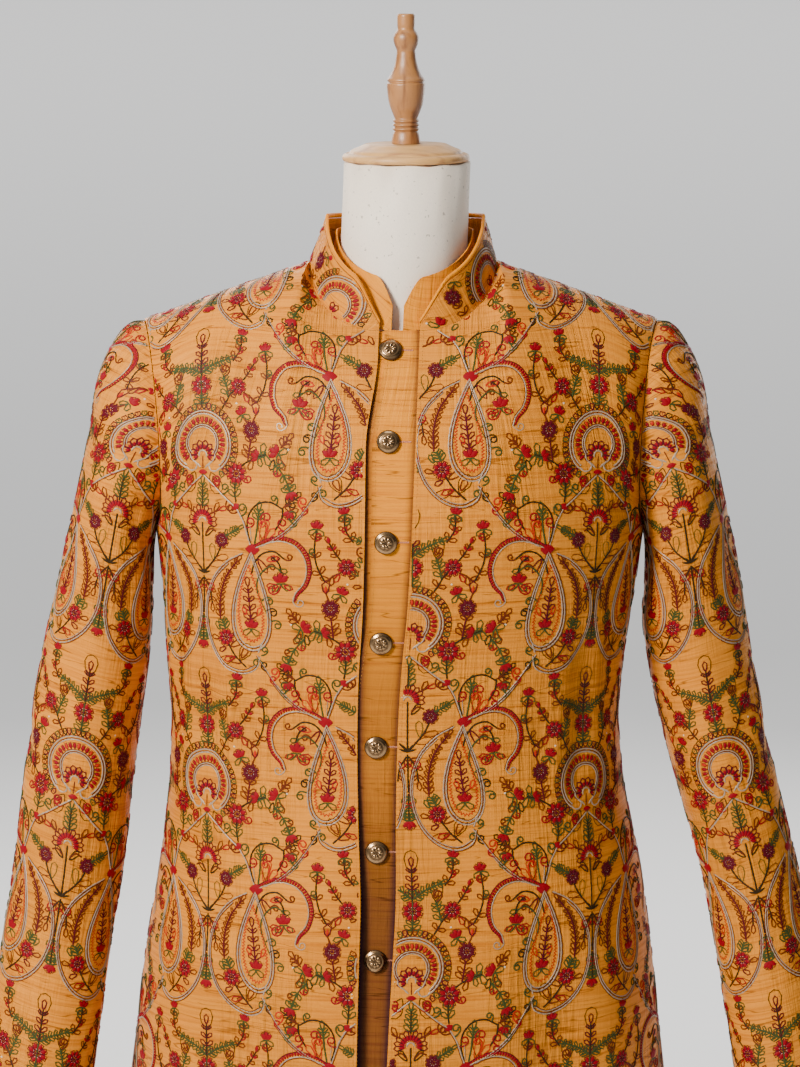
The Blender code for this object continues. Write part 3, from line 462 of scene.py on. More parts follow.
def armhole(angle, face):
    """Armhole seam, from the underarm at angle 0 up to the shoulder point at pi."""
    up = (1 - np.cos(angle)) / 2
    half_width = body_size("half_width", UNDERARM_Z)
    x = half_width + (SHOULDER_X - half_width) * up - ARMHOLE_BOW * np.sin(angle)
    z = UNDERARM_Z + (SHOULDER_Z - UNDERARM_Z) * up
    return np.stack([x, face * ARMHOLE_DEPTH * np.sin(angle), z], -1)


def top_line(u, face, edge):
    """Neckline from the middle or front edge to the neck point, then the shoulder seam."""
    turn = np.clip(u / NECK_SHARE, 0.0, 1.0) * math.pi / 2
    low_y, low_z = (PIT_Y, PIT_Z) if face == FRONT else (NAPE_Y, NAPE_Z)
    out = np.clip((u - NECK_SHARE) / (1 - NECK_SHARE), 0.0, 1.0)
    x = edge + (NECK_X - edge) * np.sin(turn) + (SHOULDER_X - NECK_X) * out
    y = NECK_Y + (low_y - NECK_Y) * np.cos(turn) + (SHOULDER_Y - NECK_Y) * out
    z = NECK_Z + (low_z - NECK_Z) * np.cos(turn) + (SHOULDER_Z - NECK_Z) * out
    return x, y, z


def body_point(u, w, face, side=None):
    """A point of the body's outer face, for the +X half: u runs from the edge or middle at 0 to the side
    seam and armhole at 1, and w from the hem at 0 through the underarm at 1 to the shoulder seam at 2."""
    u, w = np.broadcast_arrays(np.asarray(u, float), np.asarray(w, float))
    z_low = HEM_Z + (UNDERARM_Z - HEM_Z) * np.minimum(w, 1.0)
    v = np.maximum(w - 1.0, 0.0)
    edge_low = 0.0 if side is None else edge_x(side, z_low)
    edge_top = 0.0 if side is None else edge_x(side, PIT_Z)
    half_width = body_size("half_width", z_low)
    x_low = edge_low + (half_width - edge_low) * np.sin(u * math.pi / 2)
    y_low = ring_y(x_low, z_low, face)
    x_top, y_top, z_top = top_line(u, face, edge_top)
    start = PIT_TURN if face == FRONT else NAPE_TURN
    turn = np.radians(start + (90 - start) * np.clip(u / NECK_SHARE, 0.0, 1.0))
    rise = np.sin(v * turn) / np.sin(turn)
    lean = (1 - np.cos(v * turn)) / (1 - np.cos(turn))
    across = x_low + (x_top - x_low) * v
    point = np.stack([across, y_low + (y_top - y_low) * lean, z_low + (z_top - z_low) * rise], -1)
    side_x = half_width + (SHOULDER_X - half_width) * v
    side_z = UNDERARM_Z + (SHOULDER_Z - UNDERARM_Z) * np.sin(v * math.pi / 2)
    pull = (ease((u - 0.45) / 0.55) * (w > 1.0))[..., None]
    point = point + pull * (armhole(v * math.pi, face) - np.stack([side_x, 0 * v, side_z], -1))
    if side is not None:
        plain_edge = edge_low + (edge_top - edge_low) * v
        point[..., 0] += (1 - u) ** 2 * (edge_x(side, point[..., 2]) - plain_edge) * (w > 1.0)
        lift = LEFT_LIFT if side == LEFT else RIGHT_LIFT
        lift = lift * ease((LIFT_TOP_Z - point[..., 2]) / LIFT_LENGTH)
        point[..., 1] -= lift * (1 - ease(u / LIFT_WIDTH))
    return point


def leaned(points):
    """Points with the neck's lean to +X."""
    points = np.array(points, float)
    share = np.clip((points[..., 2] - LEAN_FROM_Z) / (LEAN_TO_Z - LEAN_FROM_Z), 0.0, 1.0)
    points[..., 0] += NECK_LEAN * share
    return points


def placed(points, side):
    """Points of the +X half on their own side, with the body's sideways shift and lean."""
    moved = leaned(points)
    lean = moved[..., 0] - points[..., 0]
    shift = body_size("shift", np.minimum(points[..., 2], UNDERARM_Z))
    moved[..., 0] = side * points[..., 0] + lean + shift
    return moved


def grown(grid, axis):
    """The grid with one more line beyond each end of an axis, on the curve that it already follows."""
    lines = np.moveaxis(grid, axis, 0)
    before = 3 * lines[0] - 3 * lines[1] + lines[2]
    after = 3 * lines[-1] - 3 * lines[-2] + lines[-3]
    return np.moveaxis(np.concatenate([before[None], lines, after[None]]), 0, axis)


def crossed(wide, tall):
    """Unit normals of a grid that is given twice: one line wider, and one line taller, at each end."""
    normal = np.cross(wide[:, 2:] - wide[:, :-2], tall[2:] - tall[:-2])
    return normal / np.maximum(np.linalg.norm(normal, axis=-1, keepdims=True), 1e-12)


def normals_of(grid, away_from):
    """Unit normals of a grid of points, pointing away from a place inside the garment."""
    normal = crossed(grown(grid, 1), grown(grid, 0))
    middle = (grid.shape[0] // 2, grid.shape[1] // 2)
    outwards = normal[middle] @ (grid[middle] - np.asarray(away_from))
    return normal if outwards > 0 else -normal


def drawn_in(grid, bottom=0.0, top=0.0, first=0.0, last=0.0):
    """The grid with each border moved towards its neighbouring line by a length or a list of lengths."""
    grid = grid.copy()
    borders = (
        (grid[0], grid[1], bottom),
        (grid[-1], grid[-2], top),
        (grid[:, 0], grid[:, 1], first),
        (grid[:, -1], grid[:, -2], last),
    )
    for line, inner, length in borders:
        step = inner - line
        step = step / np.linalg.norm(step, axis=-1, keepdims=True)
        line += step * np.broadcast_to(np.asarray(length, float), line.shape[:1])[:, None]
    return grid


def run_of(grid, axis):
    """Length along each line of a grid, from its start."""
    steps = np.linalg.norm(np.diff(grid, axis=axis), axis=-1)
    pad = [(0, 0), (0, 0)]
    pad[axis] = (1, 0)
    return np.pad(np.cumsum(steps, axis=axis), pad)


def folded(grid, normals, a, b, folds):
    """The grid with soft folds laid on it: long ridges, or troughs where the height is negative."""
    rise = np.zeros(a.shape)
    for row in folds:
        fold = dict(zip(FOLD_COLUMNS, row))
        lean = math.radians(fold["lean"])
        along = (a - fold["a"]) * math.sin(lean) + (b - fold["b"]) * math.cos(lean)
        across = (a - fold["a"]) * math.cos(lean) - (b - fold["b"]) * math.sin(lean)
        across = across + 0.12 * along**2 / fold["length"]
        fade = (along / (0.55 * fold["length"])) ** 4
        rise += fold["height"] * np.exp(-((across / fold["width"]) ** 2) - fade)
    return grid + normals * rise[..., None]


def shell(name, grid, normals, a, b, thickness, material, closed=False):
    """A thin wall of cloth. The grid is its outer face, and (a, b) is the cloth's own measure."""
    rows, columns = grid.shape[:2]
    inner = grid - normals * thickness
    points = np.concatenate([grid.reshape(-1, 3), inner.reshape(-1, 3)])
    uv = np.tile(np.stack([a, b], -1).reshape(-1, 2), (2, 1))
    under = rows * columns
    at = np.arange(under).reshape(rows, columns)
    quads = np.stack([at[:-1, :-1], at[:-1, 1:], at[1:, 1:], at[1:, :-1]], -1).reshape(-1, 4)
    middle = quads[len(quads) // 2]
    sample = points[middle]
    facing = np.cross(sample[1] - sample[0], sample[2] - sample[0]) @ normals.reshape(-1, 3)[middle[0]]
    if closed:
        edges = [np.stack([at[0, :-1], at[0, 1:]], 1), np.stack([at[-1, 1:], at[-1, :-1]], 1)]
    else:
        loop = np.concatenate([at[0, :-1], at[:-1, -1], at[-1, :0:-1], at[:0:-1, 0]])
        edges = [np.stack([loop, np.roll(loop, -1)], 1)]
    edges = np.concatenate(edges)
    rim = np.stack([edges[:, 1], edges[:, 0], edges[:, 0] + under, edges[:, 1] + under], 1)
    faces = np.concatenate([quads, quads[:, ::-1] + under, rim])
    if facing < 0:
        faces = faces[:, ::-1]
    made = object_of(name, points, faces, material, uv, 60.0)
    if closed:
        body = bmesh.new()
        body.from_mesh(made.data)
        bmesh.ops.remove_doubles(body, verts=body.verts, dist=0.000001)
        body.to_mesh(made.data)
        body.free()
    return made


def slub_silk(name, lit, shade, slub_shadow, pucker_and_shade):
    """Handloom silk: thick and thin weft threads lie across it, and it puckers a little up and down;
    painted shade darkens the pucker troughs, and painted shadow runs in thin lines along the thick weft.
    """
    material, nodes, links, shader = nodes_of(name)
    place = nodes.new("ShaderNodeUVMap")
    place.uv_map = "cloth"
    place = place.outputs["UV"]
    weft = scaled_noise(nodes, links, place, (9, 300, 0), 3.0, 0.55, 0.2)
    waves = scaled_noise(nodes, links, place, (7, 105, 0), 2.0, 0.45, 0.30)
    breaks = scaled_noise(nodes, links, place, (30, 60, 0), 2.0, 0.5)
    fine = scaled_noise(nodes, links, place, (300, 2400, 0), 2.0, 0.6)
    crush = scaled_noise(nodes, links, place, (240, 15, 0), 2.5, 0.6, 0.7)
    clouds = scaled_noise(nodes, links, place, (8, 6, 0), 2.0)
    patches = scaled_noise(nodes, links, place, (11, 4, 0), 1.0)
    tone = ramp(nodes, links, weft, (0.30, shade), (0.56, lit))
    tone = shaded(nodes, links, 0.28, tone, fine, (0.25, 0.60), (0.62, 1.0))
    tone = shaded(nodes, links, 0.40, tone, clouds, (0.35, 0.70), (0.62, 1.0))
    # Painted shade: the colour darkens in the troughs of the puckers, in patches, together with their bump.
    crinkled = ramp(nodes, links, patches, (0.44, 0.15), (0.58, 1.0))
    crush = blended(nodes, links, "MIX", crinkled, (0.5, 0.5, 0.5), crush)
    tone = shaded(nodes, links, 0.36 * pucker_and_shade, tone, crush, (0.32, 0.36), (0.48, 1.0))
    # Painted shadow: thin broken dark lines along the thick weft threads, where their raised ridges would
    # cast shade; the ridges themselves are a bump below.
    lines = ramp(nodes, links, waves, (0.474, 0.0), (0.487, 1.0), (0.500, 0.0))
    lines = shaded(nodes, links, 1.0, lines, breaks, (0.40, 0.0), (0.47, 1.0))
    tone = blended(nodes, links, "MIX", lines, tone, blended(nodes, links, "MIX", 0.78, tone, slub_shadow))
    links.new(tone, shader.inputs["Base Color"])
    links.new(ramp(nodes, links, weft, (0.3, 0.56), (0.7, 0.40)), shader.inputs["Roughness"])
    settings(shader, Sheen_Weight=0.03, Sheen_Roughness=0.35, Sheen_Tint=(1.0, 0.62, 0.20, 1.0))
    settings(shader, Specular_IOR_Level=0.20, Specular_Tint=(1.0, 0.66, 0.24, 1.0))
    deep = bumped(nodes, links, shader, crush, 0.0026 * pucker_and_shade, 0.9)
    ridges = bumped(nodes, links, shader, waves, 0.0011, 0.7, deep)
    bumped(nodes, links, shader, fine, 0.00012, 0.5, ridges)
    return material


silk = slub_silk("mustard_slub_silk", SILK_LIT, SILK_SHADE, SLUB_SHADOW, 1.0)


def panel_lines(neck_columns, shoulder_columns, skirt_rows, yoke_rows):
    """Fractions across and up a panel of the body, with lines at the neck point and the underarm."""
    neck = np.linspace(0, NECK_SHARE, neck_columns + 1)
    shoulder = np.linspace(NECK_SHARE, 1, shoulder_columns + 1)
    skirt, yoke = np.linspace(0, 1, skirt_rows + 1), np.linspace(1, 2, yoke_rows + 1)
    return np.concatenate([neck, shoulder[1:]]), np.concatenate([skirt, yoke[1:]])


def slit_gap(z):
    """Half the gap between front and back along the side: sewn above the slit, open below it."""
    return SEAM_GAP / 2 + np.maximum(SLIT_TOP_Z - z, 0.0) * SLIT_SPREAD / 2


NECK_LINES, SHOULDER_LINES, SKIRT_LINES, YOKE_LINES = 13, 28, 108, 46
INSIDE = (0.0, 0.0, 1.10)
panels = {}


def keep_panel(name, grid, normals, a, b, start):
    """Keeps a panel's outer face for the embroidery. start is the column that a is measured from."""
    panels[name] = {"grid": grid, "normals": normals, "a": a, "b": b, "start": start}


def sewn_panel(name, half, side, folds, thickness, material):
    """Cloth for one front, or for the whole back where side is None."""
    u, w = half
    face, edge = (BACK, None) if side is None else (FRONT, side)
    points = body_point(u[None, :], w[:, None], face, edge)
    if side is None:
        grid = np.concatenate([placed(points[:, :0:-1], RIGHT), placed(points, LEFT)], 1)
        across = np.concatenate([u[:0:-1], u])
    else:
        grid, across = placed(points, side), u
    up = run_of(grid, 0)
    b = UNDERARM_Z + up - up[w.searchsorted(1.0)]
    run = run_of(grid, 1)
    a = run - run[:, [len(u) - 1]] if side is None else run + points[:, :1, 0]
    sewn = np.where(w <= 1.0, slit_gap(grid[:, -1, 2]), SEAM_GAP / 2)
    shoulder = np.where(across >= NECK_SHARE - 1e-6, SEAM_GAP / 2, 0.0)
    grid = drawn_in(grid, top=shoulder, first=sewn if side is None else 0.0, last=sewn)
    normals = normals_of(grid, INSIDE)
    grid = folded(grid, normals, a, b, folds)
    normals = normals_of(grid, INSIDE)
    keep_panel(name, grid, normals, a, b, len(u) - 1 if side is None else 0)
    made = shell(name, grid, normals, a, b, thickness, material)
    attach(made, "root")
    return made


lines = panel_lines(NECK_LINES, SHOULDER_LINES, SKIRT_LINES, YOKE_LINES)
back = sewn_panel("silk_back", lines, None, BACK_FOLDS, CLOTH, silk)
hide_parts("back")


# Fronts of the coat
# Two mirror-cut pieces of the same silk. They stand apart over the placket, each with a plain turned
# edge, and the wearer's left one stands a little forward below the waist.

LEFT_FOLDS = (
    (0.150, 1.085, 0.130, 0.012, 0.0030, 4),
    (0.172, 1.060, 0.110, 0.010, -0.0030, 2),
    (0.194, 1.095, 0.140, 0.011, 0.0028, -3),
    (0.135, 1.030, 0.100, 0.011, -0.0022, 8),
    (0.215, 1.140, 0.090, 0.012, -0.0030, -10),
    (0.190, 1.255, 0.075, 0.012, 0.0030, -28),
    (0.172, 1.285, 0.065, 0.011, -0.0024, -30),
    (0.070, 1.125, 0.160, 0.020, -0.0016, 2),
    (0.095, 0.800, 0.240, 0.026, 0.0040, -4),
    (0.150, 0.720, 0.250, 0.026, -0.0048, -5),
    (0.205, 0.760, 0.230, 0.028, 0.0046, -8),
    (0.255, 0.620, 0.190, 0.022, -0.0036, -10),
    (0.060, 0.610, 0.180, 0.024, -0.0030, 2),
)
RIGHT_FOLDS = (
    (0.152, 1.075, 0.135, 0.012, 0.0028, 5),
    (0.176, 1.055, 0.105, 0.011, -0.0028, 0),
    (0.198, 1.085, 0.150, 0.012, 0.0026, -4),
    (0.128, 1.050, 0.090, 0.010, -0.0018, 9),
    (0.214, 1.150, 0.100, 0.012, -0.0028, -12),
    (0.186, 1.262, 0.070, 0.012, 0.0026, -26),
    (0.168, 1.292, 0.070, 0.010, -0.0020, -32),
    (0.080, 1.105, 0.150, 0.022, -0.0014, 3),
    (0.105, 0.780, 0.230, 0.026, 0.0036, -3),
    (0.160, 0.735, 0.240, 0.024, -0.0044, -6),
    (0.212, 0.740, 0.210, 0.026, 0.0042, -9),
    (0.250, 0.640, 0.200, 0.022, -0.0034, -10),
    (0.075, 0.630, 0.170, 0.022, -0.0026, 2),
)
front_left = sewn_panel("silk_front_left", lines, LEFT, LEFT_FOLDS, CLOTH, silk)
front_right = sewn_panel("silk_front_right", lines, RIGHT, RIGHT_FOLDS, CLOTH, silk)
for piece, node in ((front_left, "front_left"), (front_right, "front_right")):
    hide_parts(node)


# Sleeves
# Each is one piece of silk sewn into a tube under the arm and set into its armhole. It hangs empty,
# slightly bent at the elbow and swung forward, with small drag folds at the inner elbow.

SLEEVE_COLUMNS = ("x_out", "z_out", "x_in", "z_in", "y", "half_depth", "bow")
SLEEVE_TOP_ROWS = (
    (0.2293, 1.4155, 0.2198, 1.235, 0.000, 0.0565, 0.0110),
    (0.2430, 1.4125, 0.2222, 1.226, 0.000, 0.0600, 0.0095),
    (0.2580, 1.3935, 0.2232, 1.214, 0.000, 0.0625, 0.0060),
    (0.2710, 1.3620, 0.2234, 1.200, 0.000, 0.0640, 0.0030),
    (0.2790, 1.3160, 0.2230, 1.184, 0.000, 0.0645, 0.0010),
    (0.2900, 1.2650, 0.2226, 1.165, 0.001, 0.0635, 0.0000),
)
RIGHT_SLEEVE_ROWS = SLEEVE_TOP_ROWS + (
    (0.3040, 1.2050, 0.2226, 1.141, 0.003, 0.0615, 0.0),
    (0.3165, 1.1400, 0.2246, 1.106, 0.005, 0.0585, 0.0),
    (0.3310, 1.0550, 0.2345, 1.036, 0.002, 0.0560, 0.0),
    (0.3435, 0.9750, 0.2460, 0.959, -0.012, 0.0535, 0.0),
    (0.3565, 0.8900, 0.2590, 0.874, -0.034, 0.0500, 0.0),
    (0.3695, 0.8000, 0.2705, 0.784, -0.062, 0.0460, 0.0),
    (0.3765, 0.7470, 0.2775, 0.732, -0.080, 0.0440, 0.0),
)
LEFT_SLEEVE_ROWS = SLEEVE_TOP_ROWS + (
    (0.3045, 1.2050, 0.2228, 1.145, 0.003, 0.0615, 0.0),
    (0.3185, 1.1380, 0.2285, 1.114, 0.005, 0.0585, 0.0),
    (0.3350, 1.0550, 0.2445, 1.040, 0.002, 0.0560, 0.0),
    (0.3515, 0.9750, 0.2645, 0.959, -0.012, 0.0535, 0.0),
    (0.3685, 0.8900, 0.2835, 0.874, -0.034, 0.0500, 0.0),
    (0.3840, 0.8000, 0.2990, 0.784, -0.062, 0.0460, 0.0),
    (0.3920, 0.7470, 0.3070, 0.732, -0.080, 0.0440, 0.0),
)
SLEEVE_RINGS, SLEEVE_AROUND = 92, 30
SLEEVE_FOLDS = (
    (0.030, 1.230, 0.080, 0.009, 0.0016, 10),
    (-0.028, 1.205, 0.100, 0.010, -0.0018, -6),
    (0.060, 1.190, 0.080, 0.010, -0.0022, 20),
    (-0.060, 1.130, 0.130, 0.012, 0.0018, 4),
    (0.020, 1.060, 0.140, 0.011, -0.0018, -4),
    (0.050, 1.030, 0.070, 0.010, 0.0024, 38),
    (0.066, 1.000, 0.060, 0.009, -0.0026, 46),
    (0.045, 0.965, 0.070, 0.010, 0.0022, 40),
    (-0.040, 0.980, 0.150, 0.012, -0.0016, 3),
    (0.000, 0.900, 0.120, 0.011, 0.0016, -3),
    (0.040, 0.860, 0.110, 0.010, -0.0016, 8),
    (-0.130, 1.180, 0.140, 0.014, 0.0020, 6),
    (-0.160, 1.020, 0.120, 0.012, -0.0020, 30),
    (0.150, 1.010, 0.080, 0.011, 0.0022, -38),
    (-0.120, 0.890, 0.150, 0.013, 0.0018, -4),
)


def sleeve_points(rows):
    """Outer face of a sleeve for the +X side, from the cuff up to the armhole, and from the seam under
    the arm round by the front and the outer line back to that seam."""
    at = np.linspace(len(rows) - 1, 0, SLEEVE_RINGS)
    size = {
        name: smooth(range(len(rows)), [row[k] for row in rows], at)[:, None]
        for k, name in enumerate(SLEEVE_COLUMNS)
    }
    turn = np.linspace(0, 2 * math.pi, 2 * SLEEVE_AROUND + 1)[None, :]
    up = (1 - np.cos(turn)) / 2
    x = size["x_in"] + (size["x_out"] - size["x_in"]) * up - size["bow"] * np.abs(np.sin(turn))
    y = size["y"] - size["half_depth"] * np.sin(turn)
    z = size["z_in"] + (size["z_out"] - size["z_in"]) * up
    return np.stack(np.broadcast_arrays(x, y, z), -1)


def tube_normals(grid):
    """Normals of a grid whose last column lies on its first, pointing away from the tube's middle."""
    normal = crossed(np.concatenate([grid[:, -2:-1], grid, grid[:, 1:2]], 1), grown(grid, 0))
    half = grid.shape[0] // 2
    outwards = (normal[half] * (grid[half] - grid[half, :-1].mean(0))).sum()
    return normal if outwards > 0 else -normal


def make_sleeve(name, rows, side):
    grid = placed(sleeve_points(rows), side)
    middle = SLEEVE_AROUND // 2
    up = run_of(grid, 0)
    b = grid[-1, :, 2][None] - (up[-1] - up)
    run = run_of(grid, 1)
    a = run - run[:, [middle]]
    grid = folded(grid, tube_normals(grid), a, b, SLEEVE_FOLDS)
    grid[:, -1] = grid[:, 0]
    normals = tube_normals(grid)
    keep_panel(name, grid, normals, a, b, middle)
    made = shell(name, grid, normals, a, b, CLOTH, silk, closed=True)
    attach(made, "root")
    return made


sleeve_left = make_sleeve("silk_sleeve_left", LEFT_SLEEVE_ROWS, LEFT)
sleeve_right = make_sleeve("silk_sleeve_right", RIGHT_SLEEVE_ROWS, RIGHT)
for piece, node in ((sleeve_left, "sleeve_left"), (sleeve_right, "sleeve_right")):
    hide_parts(node)


# Outer collar and its binding
# A stiffened stand-up band of the embroidered silk, set on the neckline, with rounded front corners.
# A bias strip of plain silk is turned over its top edge and down its front ends.

COLLAR_TOP_X, COLLAR_TOP_FRONT_Y, COLLAR_TOP_BACK_Y = 0.0695, -0.0815, 0.0500
COLLAR_HEIGHT, COLLAR_END_HEIGHT, COLLAR_CORNER = 0.042, 0.010, 0.036
COLLAR_CLOTH = 0.0018
BINDING_HEIGHT, BINDING_THICKNESS, BINDING_SIDES = 0.0042, 0.0030, 10
COLLAR_STEPS, COLLAR_ROWS, COLLAR_MIDDLE = 60, 14, (0.005, -0.010, 1.47)
PLAIN_LIT, PLAIN_SHADE, PLAIN_PUCKER_AND_SHADE = (0.830, 0.285, 0.008), (0.640, 0.185, 0.004), 0.45


def round_ended(base, top, height, end_height, corner):
    """A band's base line, and its top line brought down to end_height in a round corner at its start."""
    along = np.concatenate([[0], np.cumsum(np.linalg.norm(np.diff(base, axis=0), axis=1))])
    rise = np.sin(np.clip(along / corner, 0, 1) * math.pi / 2)
    share = (end_height + (height - end_height) * rise) / height
    return base, base + (top - base) * share[:, None]


def collar_half(side):
    """Base line and top line of the outer collar on one side, from the front end to the nape."""
    quarter = np.linspace(0, math.pi / 2, COLLAR_STEPS + 1)
    angle = np.concatenate([quarter, math.pi / 2 + quarter[1:]])
    edge = np.where(angle < math.pi / 2, edge_x(side, PIT_Z), 0.0)
    cosine, sine = np.cos(angle), np.sin(angle)
    low_y, low_z = np.where(cosine > 0, PIT_Y, NAPE_Y), np.where(cosine > 0, PIT_Z, NAPE_Z)
    top_y = np.where(cosine > 0, COLLAR_TOP_FRONT_Y, COLLAR_TOP_BACK_Y)
    base_z = NECK_Z + (low_z - NECK_Z) * np.abs(cosine) + SEAM_GAP
    base = [side * (edge + (NECK_X - edge) * sine), NECK_Y + (low_y - NECK_Y) * np.abs(cosine), base_z]
    top_x = side * (edge * 0.9 + (COLLAR_TOP_X - edge * 0.9) * sine)
    top = [top_x, NECK_Y + (top_y - NECK_Y) * np.abs(cosine), base_z + COLLAR_HEIGHT]
    base, top = np.stack(base, -1), np.stack(top, -1)
    return round_ended(base, top, COLLAR_HEIGHT, COLLAR_END_HEIGHT, COLLAR_CORNER)


def whole_round(half):
    """A line round the neck, from the wearer's right front end over the nape to the left one."""
    return [np.concatenate([right, left[-2::-1]]) for right, left in zip(half(RIGHT), half(LEFT))]


def band_grid(base, top, rows):
    """Rows of points from a base line up to a top line, with the neck's lean, and outward normals."""
    share = np.linspace(0, 1, rows + 1)[:, None, None]
    grid = leaned(base[None] + (top - base)[None] * share)
    normals = normals_of(grid, COLLAR_MIDDLE)
    return grid, normals if normals[0, grid.shape[1] // 2, 1] > 0 else -normals


def strip(name, centre, up, out, half_height, half_thickness, material):
    """A soft-edged strip along a line, rounded in section."""
    turn = np.arange(BINDING_SIDES) * 2 * math.pi / BINDING_SIDES
    tall = np.sign(np.sin(turn)) * np.abs(np.sin(turn)) ** 0.7 * half_height
    deep = np.sign(np.cos(turn)) * np.abs(np.cos(turn)) ** 0.8 * half_thickness
    rings = centre[:, None] + up[:, None] * tall[None, :, None] + out[:, None] * deep[None, :, None]
    along = np.concatenate([[0], np.cumsum(np.linalg.norm(np.diff(centre, axis=0), axis=1))])
    uv = np.stack(np.broadcast_arrays(along[:, None], 1.0 + (turn * half_height)[None]), -1).reshape(-1, 2)
    faces = ring_faces(len(centre), BINDING_SIDES)
    made = object_of(name, rings.reshape(-1, 3), faces, material, uv, 70.0)
    body = bmesh.new()
    body.from_mesh(made.data)
    bmesh.ops.recalc_face_normals(body, faces=body.faces)
    body.to_mesh(made.data)
    body.free()
    return made


plain_silk = slub_silk("plain_placket_silk", PLAIN_LIT, PLAIN_SHADE, SLUB_SHADOW, PLAIN_PUCKER_AND_SHADE)
base, top = whole_round(collar_half)
length = np.linalg.norm(top - base, axis=-1, keepdims=True)
body_top = top - (top - base) / length * (BINDING_HEIGHT + 2 * SEAM_GAP)
grid, normals = band_grid(base, body_top, COLLAR_ROWS)
run = run_of(grid, 1)
a = run - run[:, [grid.shape[1] // 2]]
b = run_of(grid, 0) + grid[0, 0, 2]
keep_panel("silk_collar", grid, normals, a, b, grid.shape[1] // 2)
collar = shell("silk_collar", grid, normals, a, b, COLLAR_CLOTH, silk)
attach(collar, "root")
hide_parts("collar")
edge = leaned(top)
up = (edge - grid[-1]) / np.linalg.norm(edge - grid[-1], axis=-1, keepdims=True)
centre = edge - up * BINDING_HEIGHT / 2 - normals[-1] * COLLAR_CLOTH / 2
half_height, half_thickness = BINDING_HEIGHT / 2, BINDING_THICKNESS / 2
binding = strip("collar_bias_binding", centre, up, normals[-1], half_height, half_thickness, plain_silk)
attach(binding, "root")
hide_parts("collar_binding")


# Inner collar
# A lower band of the plain silk, cut on the slant, that stands inside the outer collar against the
# neck. Its rounded ends leave a small notch in front.

INNER_X, INNER_FRONT_Y, INNER_BACK_Y = 0.0640, PIT_Y + 0.0021, 0.0475
INNER_TOP_X, INNER_TOP_FRONT_Y, INNER_TOP_BACK_Y = 0.0608, -0.0740, 0.0465
INNER_CENTRE_Y = -0.014
INNER_FRONT_Z, INNER_SIDE_Z = PIT_Z - 0.0009, 1.4685
INNER_FRONT_HEIGHT, INNER_SIDE_HEIGHT, INNER_END_HEIGHT, INNER_CORNER = 0.045, 0.030, 0.022, 0.018
NOTCH_RIGHT_X, NOTCH_LEFT_X = 0.0084, 0.0017
INNER_CLOTH, INNER_STEPS, INNER_SLANT = 0.0012, 84, math.radians(24)


def inner_collar_half(side):
    """Base line and top line of the inner collar on one side, from its front end to the nape."""
    notch = NOTCH_LEFT_X if side == LEFT else NOTCH_RIGHT_X
    start = math.asin(notch / INNER_X)
    angle = start + (math.pi - start) * np.linspace(0, 1, INNER_STEPS + 1) ** 1.4
    sine, cosine = np.sin(angle), np.cos(angle)
    low_y = np.where(cosine > 0, INNER_FRONT_Y, INNER_BACK_Y)
    top_y = np.where(cosine > 0, INNER_TOP_FRONT_Y, INNER_TOP_BACK_Y)
    dip = np.clip(cosine, 0.0, 1.0)
    base_z = INNER_SIDE_Z + (INNER_FRONT_Z - INNER_SIDE_Z) * dip
    full = INNER_SIDE_HEIGHT + (INNER_FRONT_HEIGHT - INNER_SIDE_HEIGHT) * dip
    base_y = INNER_CENTRE_Y + (low_y - INNER_CENTRE_Y) * np.abs(cosine)
    top_y = INNER_CENTRE_Y + (top_y - INNER_CENTRE_Y) * np.abs(cosine)
    base = np.stack([side * INNER_X * sine, base_y, base_z], -1)
    top = np.stack([side * INNER_TOP_X * sine, top_y, base_z + full], -1)
    return round_ended(base, top, full, INNER_END_HEIGHT, INNER_CORNER)


base, top = whole_round(inner_collar_half)
grid, normals = band_grid(base, top, COLLAR_ROWS)
run, rise = run_of(grid, 1), run_of(grid, 0)
sine, cosine = math.sin(INNER_SLANT), math.cos(INNER_SLANT)
a, b = run * cosine + rise * sine, rise * cosine - run * sine
inner_collar = shell("plain_inner_collar", grid, normals, a, b, INNER_CLOTH, plain_silk)
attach(inner_collar, "root")
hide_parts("inner_collar")


# Placket strips
# Two long strips of plain silk, folded double and pressed, hang behind the front edges. The wearer's
# left one has the buttonholes and lies on top, and the right one carries the buttons.

PLACKET_DEPTH, UNDER_PLACKET_DEPTH, PLACKET_CLOTH = 0.0021, 0.0037, 0.0011
PLACKET_SINK, SINK_TOP_Z, SINK_LENGTH = 0.0055, 1.15, 0.30
PLACKET_HEM_Z, PLACKET_ROWS, PLACKET_COLUMNS = 0.460, 84, 20
PLACKET_TOP_TURN = 0.0017


